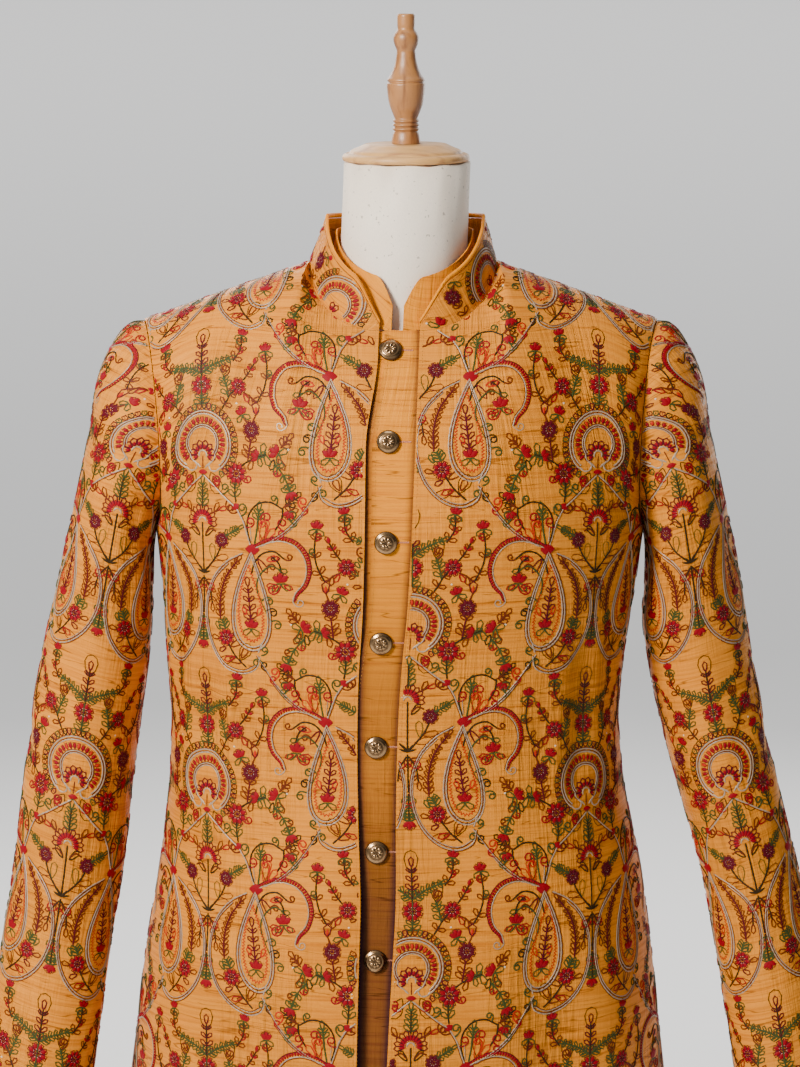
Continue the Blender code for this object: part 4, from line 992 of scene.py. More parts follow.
def front_strip(x_from, x_to, depth):
    """Points and outward normals of a strip behind the fronts, depth below the body's outer face."""
    w = np.linspace((PLACKET_HEM_Z - HEM_Z) / (UNDERARM_Z - HEM_Z), 1.0, PLACKET_ROWS + 1)
    w = np.concatenate([w, np.linspace(1.0, 2.0, YOKE_LINES + 1)[1:]])
    z_low = HEM_Z + (UNDERARM_Z - HEM_Z) * np.minimum(w, 1.0)
    v = np.maximum(w - 1.0, 0.0)
    turn = math.radians(PIT_TURN)
    y_middle = ring_y(0 * z_low, z_low, FRONT)
    y_middle = y_middle + (PIT_Y - y_middle) * (1 - np.cos(v * turn)) / (1 - math.cos(turn))
    z = z_low + (PIT_Z - z_low) * np.sin(v * turn) / math.sin(turn)
    across = np.linspace(0, 1, PLACKET_COLUMNS + 1)
    x = x_from(z)[:, None] + (x_to(z) - x_from(z))[:, None] * across[None, :]
    round_off = ring_y(x, z_low[:, None], FRONT) - ring_y(0 * x, z_low[:, None], FRONT)
    grid = np.stack([x, y_middle[:, None] + round_off, np.broadcast_to(z[:, None], x.shape)], -1)
    normals = normals_of(grid, INSIDE)
    grid[..., 0] += body_size("shift", np.minimum(grid[..., 2], UNDERARM_Z))
    grid = grid - normals * (depth + PLACKET_SINK * ease((SINK_TOP_Z - grid[..., 2:]) / SINK_LENGTH))
    rise = grid[-1] - grid[-2]
    grid[-1] += rise / np.linalg.norm(rise, axis=-1, keepdims=True) * PLACKET_TOP_TURN
    return grid, normals_of(grid, INSIDE)


def placket_free_edge(z):
    """Free edge of the buttonhole strip, which shows beside the wearer's right front at the chest."""
    return -edge_x(RIGHT, z) - 0.003 + 0.0085 * ease((z - 1.08) / 0.12)


PLACKET_FOLDS = (
    (0.012, 1.290, 0.030, 0.010, 0.0005, 70),
    (0.020, 1.180, 0.040, 0.010, -0.0005, 78),
    (0.016, 1.010, 0.040, 0.012, 0.0006, 84),
    (0.018, 0.910, 0.050, 0.012, -0.0005, 80),
    (0.016, 0.780, 0.060, 0.014, 0.0006, 84),
)
# Painted shade on the plain silk between the fronts: darker towards the hem and beside both front edges,
# where the fronts shade the strips.
RECESS_SHADE = ((1.25, 0.20, 0.45), (1.05, 0.15, 0.30))
EDGE_SHADE, EDGE_SHADE_WIDTH, EDGE_SHADE_TOP_Z, EDGE_SHADE_FADE = 0.92, 0.0060, 1.400, 0.05
FAR_SHADE, FAR_SHADE_WIDTH = 0.75, 0.0040
PLACKET_LIT, PLACKET_SHADE = (0.830, 0.285, 0.010), (0.640, 0.185, 0.008)

placket_silk = slub_silk("shaded_placket_silk", PLACKET_LIT, PLACKET_SHADE, SLUB_SHADOW, PLAIN_PUCKER_AND_SHADE)
nodes, links = placket_silk.node_tree.nodes, placket_silk.node_tree.links
colour = next(node for node in nodes if node.type == "BSDF_PRINCIPLED").inputs["Base Color"]
# The strip silk's colour is multiplied by painted shade read from a colour attribute of the mesh.
painted_recess_shade = nodes.new("ShaderNodeAttribute")
painted_recess_shade.attribute_name = "painted_recess_shade"
unshaded = colour.links[0].from_socket
links.new(blended(nodes, links, "MULTIPLY", 1.0, unshaded, painted_recess_shade.outputs["Color"]), colour)


def recess_shade(grid):
    """Painted shade for the plain silk between the fronts: darker low down and beside the front edges,
    where the fronts shade it.
    """
    z = grid[..., 2]
    light = 1.0 - sum(drop * ease((top - z) / length) for top, length, drop in RECESS_SHADE)
    from_edge = grid[..., 0] - body_size("shift", np.minimum(z, UNDERARM_Z)) + edge_x(RIGHT, z)
    from_far_edge = edge_x(LEFT, z) - grid[..., 0] + body_size("shift", np.minimum(z, UNDERARM_Z))
    near = EDGE_SHADE * ease((EDGE_SHADE_TOP_Z - z) / EDGE_SHADE_FADE)
    near = near * np.exp(-((np.maximum(from_edge, 0.0) / EDGE_SHADE_WIDTH) ** 2))
    far = FAR_SHADE * np.exp(-((np.maximum(from_far_edge, 0.0) / FAR_SHADE_WIDTH) ** 2))
    return light * (1.0 - near) * (1.0 - far)


# Each strip's piece, node, depth, flat size and area, then where its two long edges lie.
BUTTONHOLE_STRIP = ("buttonhole_placket", "placket_left", PLACKET_DEPTH, (0.061, 0.974), 0.0516)
BUTTON_STRIP = ("button_placket", "placket_right", UNDER_PLACKET_DEPTH, (0.065, 0.973), 0.0510)
BUTTONHOLE_STRIP_EDGES = (placket_free_edge, lambda z: edge_x(LEFT, z) + 0.022)
BUTTON_STRIP_EDGES = (lambda z: -edge_x(RIGHT, z) - 0.026, lambda z: edge_x(LEFT, z) - 0.004)
strips = {}
for (name, node, depth, cut, area), (x_from, x_to) in (
    (BUTTONHOLE_STRIP, BUTTONHOLE_STRIP_EDGES),
    (BUTTON_STRIP, BUTTON_STRIP_EDGES),
):
    grid, normals = front_strip(x_from, x_to, depth)
    run, rise = run_of(grid, 1), run_of(grid, 0)
    b = rise - rise[-1:] + PIT_Z
    grid = folded(grid, normals, run, b, PLACKET_FOLDS)
    strips[name] = (grid, normals)
    placket = shell(name, grid, normals, run + 0.4, b, PLACKET_CLOTH, placket_silk)
    shade = np.tile(recess_shade(grid).reshape(-1), 2)
    painted_recess_shade = placket.data.color_attributes.new("painted_recess_shade", "FLOAT_COLOR", "POINT")
    # Painted shade as a colour: blue is raised a little where it is darkest, so the deep shade reads brown.
    painted_shade_colour = np.stack([shade, shade**1.05, shade**-0.3, shade**0], -1)
    painted_recess_shade.data.foreach_set("color", painted_shade_colour.ravel().astype(np.float32))
    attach(placket, "root")
    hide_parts(node)


# Buttons
# Shank buttons of stamped and antiqued brass: a domed rim, a sunk field and a raised rosette of eight
# petals round a bead. Each is sewn through the placket by the shank behind it.

BUTTON_HEIGHTS = (1.4008, 1.3259, 1.2401, 1.1504, 1.0557, 0.9614, 0.8645)
BUTTON_X, BUTTON_DRIFT, BUTTON_SIDES, BUTTON_SPACING = -0.0083, 0.024, 48, 0.00042
BUTTON_BACK = (
    (0.0055, 0.0), (0.0085, 0.0002), (0.0098, 0.0009), (0.0101, 0.0016), (0.0100, 0.0022),
    (0.0096, 0.0027),
)
BUTTON_FACE = (
    (0.0090, 0.0031), (0.0084, 0.0035), (0.0076, 0.0040), (0.0069, 0.0043),
    (0.0066, 0.0042), (0.0063, 0.0043), (0.0050, 0.0047), (0.0035, 0.0049),
    (0.0015, 0.0050),
)
FIELD_HEIGHT, BEAD_RADIUS, BEAD_RISE, RIM_RADIUS, RIM_WIDTH = 0.0040, 0.0013, 0.0007, 0.0080, 0.0016
PETALS, PETAL_INNER, PETAL_OUTER, PETAL_RISE = 8, 0.0014, 0.0056, 0.00075
BRASS_LIT, BRASS_DARK = (0.370, 0.225, 0.110), (0.042, 0.018, 0.008)

brass, nodes, links, shader = nodes_of("antiqued_brass")
worn = nodes.new("ShaderNodeAttribute")
worn.attribute_name = "raised"
place = nodes.new("ShaderNodeTexCoord").outputs["Object"]
tarnish = scaled_noise(nodes, links, place, (420, 420, 420), 3.0, 0.6)
patina = shaded(nodes, links, 0.6, worn.outputs["Color"], tarnish, (0.3, 0.35), (0.6, 1.0))
links.new(ramp(nodes, links, patina, (0.10, BRASS_DARK), (0.75, BRASS_LIT)), shader.inputs["Base Color"])
links.new(ramp(nodes, links, patina, (0.1, 0.55), (0.8, 0.22)), shader.inputs["Roughness"])
settings(shader, Metallic=1.0)
bumped(nodes, links, shader, tarnish, 0.00006, 0.5)


def button_surface(sides):
    """Rings of a button's face with its rosette, and how bright each point is rubbed."""
    rows = through(BUTTON_BACK + BUTTON_FACE, BUTTON_SPACING)
    turn = np.arange(sides) * 2 * math.pi / sides
    radius, height = rows[:, :1], rows[:, 1:]
    upper = height > FIELD_HEIGHT
    span = np.clip((radius - PETAL_INNER) / (PETAL_OUTER - PETAL_INNER), 0, 1)
    wave = np.abs(np.cos(turn[None] * PETALS / 2)) ** 0.6
    petal = np.sin(span * math.pi) ** 0.7 * wave * upper * (radius > PETAL_INNER)
    bead = np.clip(1 - (radius / BEAD_RADIUS) ** 2, 0, 1) ** 0.5 * upper
    lift = PETAL_RISE * petal + BEAD_RISE * bead
    points = np.stack([radius * np.cos(turn), radius * np.sin(turn), height + lift], -1)
    rim = np.exp(-(((radius - RIM_RADIUS) / RIM_WIDTH) ** 2)) * (height > 0.003)
    rubbed = np.clip(0.25 + 0.75 * np.maximum(petal, np.maximum(bead, rim)) - 0.15 * (height < 0.002), 0, 1)
    return points, rubbed


grid, normals = strips["buttonhole_placket"]
middle = PLACKET_COLUMNS // 2
surface, rubbed = button_surface(BUTTON_SIDES)
buttons = []
for k, z in enumerate(BUTTON_HEIGHTS):
    heights = grid[:, middle, 2]
    seat = [float(np.interp(z, heights, grid[:, middle, j])) for j in (1, 2)]
    out = np.array([np.interp(z, heights, normals[:, middle, j]) for j in range(3)])
    out[0] = 0.0
    out = out / np.linalg.norm(out)
    right, upward = np.array([1.0, 0.0, 0.0]), np.cross(out, (1.0, 0.0, 0.0))
    x = BUTTON_X - BUTTON_DRIFT * (EDGE_TOP_Z - z) + float(body_size("shift", min(z, UNDERARM_Z)))
    origin = np.array([x, *seat]) + out * SEAM_GAP * 1.5
    spin = math.radians(7 * (k % 3) - 7)
    flat_x = surface[..., 0] * math.cos(spin) - surface[..., 1] * math.sin(spin)
    flat_y = surface[..., 0] * math.sin(spin) + surface[..., 1] * math.cos(spin)
    points = origin + flat_x[..., None] * right + flat_y[..., None] * upward + surface[..., 2:] * out
    faces = ring_faces(*surface.shape[:2])
    button = object_of(f"rosette_button_{k + 1}", points.reshape(-1, 3), faces, brass, None, 70.0)
    raised = button.data.attributes.new("raised", "FLOAT", "POINT")
    raised.data.foreach_set("value", rubbed.ravel().astype(np.float32))
    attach(button, "root")
    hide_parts(f"button_{k + 1}")
    buttons.append((origin, out))


# Embroidery
# Thread work over all the coat's silk: a fan, flower sprays, double paisleys, crescents and curling
# stems, mirrored about an upright axis and repeated on a half-drop lattice. The motifs are drawn by rule
# in millimetres from the fan's middle, as complex numbers, and lie on the cloth as crowned ribbons.

THREADS = {
    "red": (0.250, 0.001, 0.007),
    "orange": (0.440, 0.020, 0.003),
    "maroon": (0.090, 0.003, 0.009),
    "green": (0.045, 0.055, 0.012),
    "olive": (0.028, 0.014, 0.003),
    "rust": (0.120, 0.018, 0.003),
    "silver": (0.370, 0.262, 0.172),
    "cream": (0.720, 0.560, 0.380),
}
AXIS_SPACING, FAN_SPACING = 0.169, 0.308
LEAF_FULLNESS, CURL_LENGTH, CURL_TURN = 1.38, 1.45, 1.45
STITCH, THREAD_WIDTH, EDGE_MARGIN = 2.6, 1.8, 0.0012
THREAD_BASE, THREAD_CROWN, FLAT_LIFT, SHORT_STROKE = 0.00018, 0.00060, 0.00025, 9


def unit(degrees):
    return complex(math.cos(math.radians(degrees)), math.sin(math.radians(degrees)))


def line(thread, *points, width=THREAD_WIDTH):
    """A stitched line on a smooth curve through a few points."""
    track = through([[complex(p).real, complex(p).imag] for p in points], STITCH)
    return [(thread, width, "beads" if thread == "silver" else "line", track[:, 0] + 1j * track[:, 1])]


def arc(thread, centre, radius, start, end, width=THREAD_WIDTH):
    count = max(4, int(abs(math.radians(end - start)) * radius / STITCH) + 1)
    turn = np.radians(np.linspace(start, end, count))
    return [(thread, width, "beads", centre + radius * np.exp(1j * turn))]


def curl(thread, start, heading, length, turn, width=1.65):
    """A tendril that winds up through turn degrees, more and more towards its end."""
    length = length * CURL_LENGTH
    turn = turn * CURL_TURN
    steps = max(9, int(length / STITCH * 1.3))
    angle = np.radians(heading + turn * ((np.arange(steps) + 0.5) / steps) ** 1.7)
    track = start + np.concatenate([[0], np.cumsum(np.exp(1j * angle))]) * length / steps
    return [(thread, width, "line", track)] + dot(thread, track[-1], 1.9)


def blade(thread, base, heading, length, width, bend=0.0):
    """A satin-stitched leaf, bud or petal."""
    share = np.linspace(0, 1, 4 if length > 2.5 else 3)
    return [(thread, width, "blade", base + length * unit(heading) * (share + 1j * bend * share**2))]


def loop(thread, base, heading, length, width, thread_width=1.4, sides=None):
    """An outlined leaf or petal, narrow at its base."""
    turn = np.linspace(0, 2 * math.pi, (sides or (6 if length > 4.8 else 5)) + 1)
    along = (1 - np.cos(turn)) / 2
    shape = length * along - 0.65j * width * np.sin(turn) * along**0.4
    return [(thread, thread_width, "line", base + LEAF_FULLNESS * unit(heading) * shape)]


def dot(thread, centre, size=1.5):
    return blade(thread, centre - size / 2, 0, size, size)


def flower(centre, radius, petal="red", rim="maroon", count=8):
    """A round flower of satin petals with outlined rims and a ring of pale knots."""
    made = []
    for k in range(count):
        turn = 360 * k / count + 20
        made += blade(petal, centre + 0.34 * radius * unit(turn), turn, 0.60 * radius, 0.46 * radius)
        made += loop(rim, centre + 0.22 * radius * unit(turn), turn, 0.60 * radius, 0.44 * radius, 0.95, 5)
        made += dot("cream", centre + 0.40 * radius * unit(turn), 0.15 * radius)
    return made + dot(rim, centre, 0.38 * radius)


def poppy(centre, heading, size, sepal="green"):
    """A half-open flower seen from the side, on two sepals."""
    size = size * 1.22
    made, base = [], centre - 0.12 * size * unit(heading)
    for k in (-1, 0, 1):
        made += blade("red", base, heading + 50 * k, 0.88 * size, 0.66 * size)
        made += loop("maroon", centre, heading + 50 * k, 0.62 * size, 0.46 * size, 0.8, 5)
    made += dot("cream", centre + 0.42 * size * unit(heading + 16), 1.1)
    made += dot("cream", centre + 0.42 * size * unit(heading - 16), 1.1)
    base = centre - 0.25 * size * unit(heading)
    for side in (-1, 1):
        made += loop(sepal, base, heading + 125 * side, 0.75 * size, 0.40 * size)
    return made


def sprig(stem, leaf, pairs, length, width, *points, turn=48, tip=True):
    """A stem through a few points with outlined leaves in pairs up it."""
    track = line(stem, *points)[0][3]
    made = [(stem, 1.7, "line", track)]
    for share in (np.arange(pairs) + 0.6) / pairs:
        k = min(int(share * (len(track) - 1)), len(track) - 2)
        heading = math.degrees(np.angle(track[k + 1] - track[k]))
        size = 1.0 - 0.35 * share
        for side in (-1, 1):
            made += loop(leaf, track[k], heading + side * turn, length * size, width * size)
    if tip:
        heading = math.degrees(np.angle(track[-1] - track[-2]))
        made += loop(leaf, track[-1], heading, length, width)
    return made


def mirrored(strokes):
    return strokes + [(thread, width, kind, -np.conj(track)) for thread, width, kind, track in strokes]


def teardrop(tip, heading, length, width, bend, spacing=STITCH):
    """Outline of a paisley from its tip round the full end and back to the tip."""
    turn = np.linspace(0, 2 * math.pi, max(12, int(2.3 * length / spacing)))
    along = (1 - np.cos(turn)) / 2
    side = np.sin(turn) * along**0.62
    lean = bend * length * along * (1 - along)
    return tip + unit(heading) * (length * along + 1j * (0.60 * width * side + lean))


def zigzag(thread, track, depth, pitch):
    """A line of pointed stitches to both sides of a track."""
    reach = np.concatenate([[0], np.cumsum(np.abs(np.diff(track)))])
    at = np.linspace(0, reach[-1], int(reach[-1] / pitch) * 2 + 1)
    point = np.interp(at, reach, track.real) + 1j * np.interp(at, reach, track.imag)
    normal = 1j * np.gradient(point) / np.maximum(np.abs(np.gradient(point)), 1e-9)
    return [(thread, 1.45, "line", point + normal * depth * np.where(np.arange(len(at)) % 2, 1, -0.4))]


def scallops(thread, track, depth, pitch):
    """Short satin petals side by side along a track, on its left."""
    reach = np.concatenate([[0], np.cumsum(np.abs(np.diff(track)))])
    at = np.arange(pitch / 2, reach[-1], pitch)
    point = np.interp(at, reach, track.real) + 1j * np.interp(at, reach, track.imag)
    ahead = np.interp(at + 0.5, reach, track.real) + 1j * np.interp(at + 0.5, reach, track.imag)
    made = []
    for share, base, toward in zip(at / reach[-1], point, ahead):
        size = 0.35 + 0.65 * math.sin(math.pi * share) ** 0.5
        made += blade(thread, base, math.degrees(np.angle(toward - base)) + 90, depth * size, pitch * 1.1)
    return made


def fan():
    made = arc("silver", 0, 25.2, -50, 230, 1.8) + arc("silver", 0, 27.8, -52, 232, 1.7)
    for k, turn in enumerate(np.linspace(-55, 235, 38)):
        made += loop(("maroon", "green", "rust", "olive")[k % 4], 29.2 * unit(turn), turn, 4.6, 3.2, 1.35)
        made += dot(("red", "olive", "red", "green")[k % 4], 32.6 * unit(turn), 1.3)
    for k, turn in enumerate(np.linspace(-38, 218, 23)):
        made += blade("orange" if k % 3 == 2 else "red", 17.6 * unit(turn), turn, 4.8, 3.7)
        made += loop("maroon", 16.9 * unit(turn), turn, 4.5, 2.6, 0.6)
        made += dot("cream", 18.6 * unit(turn), 1.1)
    made += arc("silver", 0, 13.6, -40, 220, 1.3) + arc("silver", 0, 15.5, -39, 219, 1.3)
    heart = -11j
    for turn in np.linspace(-15, 195, 8):
        made += blade("red", heart + 5.4 * unit(turn), turn, 4.2, 3.2)
        made += loop("maroon", heart + 5.0 * unit(turn), turn, 5.8, 3.6)
    made += arc("silver", heart, 4.0, -25, 205) + line("maroon", -12j, -23j, width=0.9)
    made += blade("red", -4.4 - 26j, 0, 8.8, 5.2)
    side = line("silver", 17.4 - 20.6j, 13 - 24.5j, 8 - 24j, 6 - 19.5j, 9 - 16.5j)
    side += line("silver", 12.4 - 9.8j, 11 - 15j, 6.5 - 18j, 2.5 - 22j)
    side += loop("olive", 8 - 26j, -62, 14.5, 8.5, 0.8, 10) + loop("rust", 10.5 - 29j, -62, 8.5, 4.5)
    side += curl("red", 9 - 37j, -20, 13, 250)
    return made + mirrored(side)


def above_fan():
    made = line("green", 35j, 60j) + sprig("olive", "green", 2, 7, 3, 34j, 42j, turn=60, tip=False)
    made += flower(51j, 9.4) + sprig("olive", "maroon", 4, 6.5, 3.0, 60j, 90j)
    made += loop("olive", 84j, 90, 15, 8.5, 0.8, 10)
    side = sprig("green", "green", 6, 5.2, 2.6, 61j, 9 + 68j, 25 + 75j)
    side += sprig("olive", "rust", 2, 6, 3, 19 + 30j, 23 + 36j, 27 + 43j, 31 + 47j, turn=65, tip=False)
    side += flower(35 + 51j, 8.0) + sprig("olive", "rust", 2, 5, 2.6, 40 + 57j, 46 + 65j, 50 + 72j)
    side += blade("red", 50 + 72j, 75, 6, 4) + blade("red", 47 + 66j, 130, 5, 3)
    side += blade("red", 47 + 66j, 20, 5, 3)
    side += sprig("green", "green", 3, 6, 3, 25 + 41j, 23.5 + 50j, 20 + 60j, turn=55, tip=False)
    side += loop("olive", 20 + 60j, 80, 12, 8, 0.8, 8) + loop("rust", 20 + 62j, 80, 6, 3.5)
    side += curl("rust", 21 + 59j, 25, 16, 250) + line("rust", 40 + 46j, 47 + 43j, 52 + 38j)
    side += loop("rust", 47 + 43j, -80, 6, 3) + loop("rust", 50 + 40j, 10, 6, 3)
    side += loop("red", 41 + 45j, -60, 6, 3)
    return made + mirrored(side)


def below_fan():
    made = sprig("olive", "green", 4, 6.5, 3.0, -58j, -37j, tip=True)
    for k, turn in enumerate(np.linspace(-8, 188, 11)):
        made += blade("red", -69j + 4.6 * unit(turn), turn, 6.2, 3.4)
        made += dot("cream", -69j + 5.6 * unit(turn), 1.2)
        made += loop("maroon", -69j + 6.2 * unit(turn), turn, 6.4, 3.2)
    made += arc("silver", -69j, 3.6, 0, 180) + line("olive", -70j, -116j) + line("olive", -118j, -152j)
    for turn in (20, 55, 90, 125, 160):
        made += blade("olive", -116j, turn, 8, 2.2)
    side = line("silver", 1 - 29j, 10 - 36j, 22 - 46j, 33 - 54j) + blade("red", 30.5 - 56j, 35, 8, 7)
    side += curl("red", 12 - 38j, 20, 17, 290) + curl("green", 20 - 44j, 15, 17, 290)
    side += curl("rust", 25 - 49j, -115, 15, 260)
    side += line("silver", 35 - 56j, 41 - 66j, 44.5 - 76j, 48 - 86j)
    side += curl("green", 39 - 62j, 30, 20, 300)
    side += curl("red", 43 - 71j, -5, 18, 280) + curl("rust", 36 - 58j, -150, 16, -250)
    side += line("olive", -116j, 8 - 107j, 15 - 98j, 19 - 90j) + flower(20 - 84j, 7.2, "maroon")
    side += sprig("green", "green", 4, 4.8, 2.4, 24 - 80j, 36 - 73j)
    side += loop("rust", 6 - 108j, 12, 12, 4.5, 0.8, 8) + loop("green", 11 - 103j, 95, 11, 4.5, 0.8, 8)
    side += loop("rust", 13 - 101j, 10, 10, 4, 0.8, 8) + line("rust", 8 - 62j, 17 - 58j)
    side += loop("rust", 12 - 60j, 60, 7, 3)
    side += loop("red", 17 - 58j, 20, 6, 3) + line("rust", 3 - 80j, 9 - 75j, 14 - 77j)
    side += loop("olive", 3 - 82j, 50, 9, 3.5)
    side += sprig("olive", "rust", 3, 6, 3, 1 - 120j, 7 - 130j, 9 - 142j)
    side += curl("red", 1 - 126j, -60, 16, 240)
    return made + mirrored(side)


KNOT = 50 - 90j
PAISLEY_LINE = (
    -9 - 4j, -24 - 12j, -39 - 28j, -47 - 50j, -46 - 76j, -37 - 97j, -21 - 111j, -6 - 114j, 6 - 108j,
    9 - 97j,
)
PAISLEY_STEM = (-15 - 12j, -26 - 27j, -32 - 46j, -32 - 66j)
STEM_CURLS = (("red", 22 + 11j), ("green", 34 + 21j), ("red", 44 + 32j), ("olive", 53 + 44j))
CRESCENT_LINE = (2 + 1j, 12 + 5.5j, 25 + 8.5j, 38 + 5j, 46 - 4j, 49 - 17j, 46 - 29j, 39 - 38j, 37 - 45j)


def paisley():
    drop = teardrop(-1 - 2j, -88, 90, 41, -0.11)
    inner = teardrop(-4.5 - 14j, -85, 69, 25, -0.07, 3.0)
    made = [("silver", 1.75, "beads", drop)]
    made += [("silver", 1.5, "beads", teardrop(-1 - 6j, -88, 83, 35.5, -0.11))]
    made += zigzag("orange", inner, 1.6, 2.9) + line("silver", *PAISLEY_LINE, width=1.6)
    made += line("silver", *[0.955 * p - 0.5 - 2.5j for p in PAISLEY_LINE[1:-1]], width=1.1)
    made += sprig("maroon", "maroon", 4, 6.5, 3.2, -1 - 66j, -3 - 50j, -4.5 - 34j)
    made += poppy(-0.5 - 70j, 90, 7.5) + loop("orange", -6 - 60j, 110, 6, 3)
    made += loop("orange", 5 - 60j, 70, 6, 3)
    made += sprig("maroon", "rust", 11, 5.2, 2.4, PAISLEY_STEM[-1], *PAISLEY_STEM[-2::-1], turn=38)
    made += sprig("green", "green", 3, 6, 3, -26 - 74j, -30 - 66j, turn=50, tip=False)
    made += flower(-25 - 82j, 8.2) + line("olive", -22 - 88j, -14 - 99j, -4 - 108j)
    made += loop("rust", -14 - 99j, -160, 13, 5.5, 0.8, 8) + loop("red", -15 - 99j, -160, 8, 3.5)
    made += loop("rust", -8 - 104j, 165, 9, 4)
    made += loop("olive", -10 - 102j, 62, 13, 8, 0.8, 8) + loop("rust", -9 - 100j, 62, 8, 4)
    made += loop("rust", -20 - 90j, 30, 9, 4)
    made += loop("rust", -32 - 84j, 170, 6, 3) + loop("green", -32 - 76j, 120, 6, 3)
    made += loop("maroon", -24 - 91j, -150, 6, 3)
    made += line("silver", 7 - 94j, 9 - 88j, 12 - 82j) + curl("green", 10 - 96j, 10, 15, 290)
    return made


def crescent():
    track = line("silver", *CRESCENT_LINE)[0][3]
    step = np.gradient(track)
    outward = 1j * step / np.abs(step)
    width = 3.6 * np.sin(np.pi * np.linspace(0.04, 1, len(track))) ** 0.45
    made = [("silver", 1.5, "beads", track), ("maroon", 1.2, "line", track + outward * (width + 1.0))]
    made += scallops("red", track + 0.9 * outward, 3.9, 2.4)
    made += curl("silver", track[-1], -60, 15, 240, 1.1)
    made += line("olive", -1 - 22j, 2 - 12j, 10 - 3j, 20 - 1j, 29 - 7j)
    made += curl("rust", 29 - 7j, -30, 12, 250)
    made += line("green", 5 - 40j, 4 - 30j, 9 - 20j, 18 - 14j, 25 - 17j)
    made += curl("rust", 13 - 16j, 60, 12, -230)
    made += loop("orange", 13 - 9j, 15, 8, 4) + loop("maroon", 17 - 8j, 10, 6, 3)
    made += loop("green", 24 - 17j, -10, 6, 3)
    made += line("olive", 17 - 5j, 24 - 11j, 27 - 20j) + poppy(26 - 27j, 95, 8)
    made += curl("red", 26 - 31j, -100, 22, -300)
    made += loop("red", 24 - 32j, 180, 8, 3.5) + loop("red", 29 - 31j, -20, 6, 3)
    made += curl("green", 9 - 46j, 50, 17, -290)
    made += curl("olive", 13 - 55j, 40, 17, -290) + curl("green", 18 - 64j, 20, 17, -290)
    made += line("green", 4 - 36j, 8 - 46j, 13 - 56j, 18 - 64j, width=0.9)
    return made


def above_knot():
    made = line("olive", -2 + 6j, -5 + 18j, -3 + 31j, 5 + 40j, 17 + 42j, 27 + 37j)
    made += curl("green", 22 + 40j, 60, 14, 280)
    made += line("green", 2 + 5j, 4 + 16j, 5 + 27j) + sprig("green", "green", 2, 6, 3, 5 + 24j, 6 + 34j)
    made += line("silver", -1 + 7j, -2 + 20j, width=1.0) + curl("red", 9 + 22j, 110, 20, -290)
    made += curl("orange", 12 + 16j, 60, 16, 260)
    made += loop("orange", 7 + 8j, 70, 15, 5, 0.8, 8) + loop("rust", 10 + 8j, 95, 15, 5, 0.8, 8)
    made += loop("orange", 12 + 9j, 50, 10, 4)
    made += line("olive", 21 + 18j, 27 + 28j, 28 + 38j) + line("rust", 28 + 38j, 36 + 41j)
    made += poppy(34 + 33j, -110, 6, "rust")
    made += sprig("rust", "olive", 2, 6, 3, 30 + 39j, 38 + 46j) + dot("cream", 39 + 50j, 2.2)
    made += line("silver", 8 + 3j, 20 + 10j, 33 + 20j, 45 + 33j, 56 + 48j, 63 + 58j, width=1.3)
    made += line("silver", 22 + 9j, 35 + 19j, 47 + 33j, width=0.9)
    made += curl("red", 30 + 17j, 160, 20, -300) + curl("green", 38 + 24j, 150, 20, -300)
    made += curl("orange", 47 + 36j, 150, 20, -300) + curl("green", 57 + 50j, 60, 16, -280)
    for k, (thread, base) in enumerate(STEM_CURLS):
        made += curl(thread, base, 5 * k - 5, 15, 290)
    return made


def flower_chain():
    made = sprig("olive", "green", 2, 7, 3.4, 34 - 50j, 33 - 43j, 33 - 33j, turn=42, tip=False)
    made += flower(34 - 25j, 10.2)
    made += curl("red", 40 - 30j, -40, 14, 260)
    made += line("olive", 39 - 18j, 45 - 14j, 53 - 10j, 63 - 7j) + poppy(54 - 9j, 160, 6.5)
    made += loop("green", 59 - 8j, 80, 8, 4) + loop("green", 61 - 7j, -60, 8, 4)
    made += loop("rust", 50 - 12j, -110, 7, 3.5)
    made += poppy(72 - 5j, 150, 7.5) + sprig("rust", "rust", 2, 6, 3.2, 76 - 1j, 82 + 6j)
    made += dot("cream", 83 - 2j, 2.2)
    made += loop("rust", 74 - 10j, -60, 8, 4) + loop("olive", 70 - 11j, -110, 7, 3.5)
    made += sprig("maroon", "rust", 3, 7, 3.4, 45 - 13j, 48 + 6j, turn=55, tip=False)
    made += flower(48.5 + 14j, 8.2, "maroon")
    made += line("rust", 50 + 20j, 53 + 28j) + loop("maroon", 53 + 27j, 90, 8, 5)
    made += blade("orange", 53 + 28j, 90, 6, 3)
    made += line("rust", 45 + 19j, 41 + 24j) + poppy(39 + 28j, 110, 6.5) + dot("cream", 34 + 36j, 2.0)
    return made


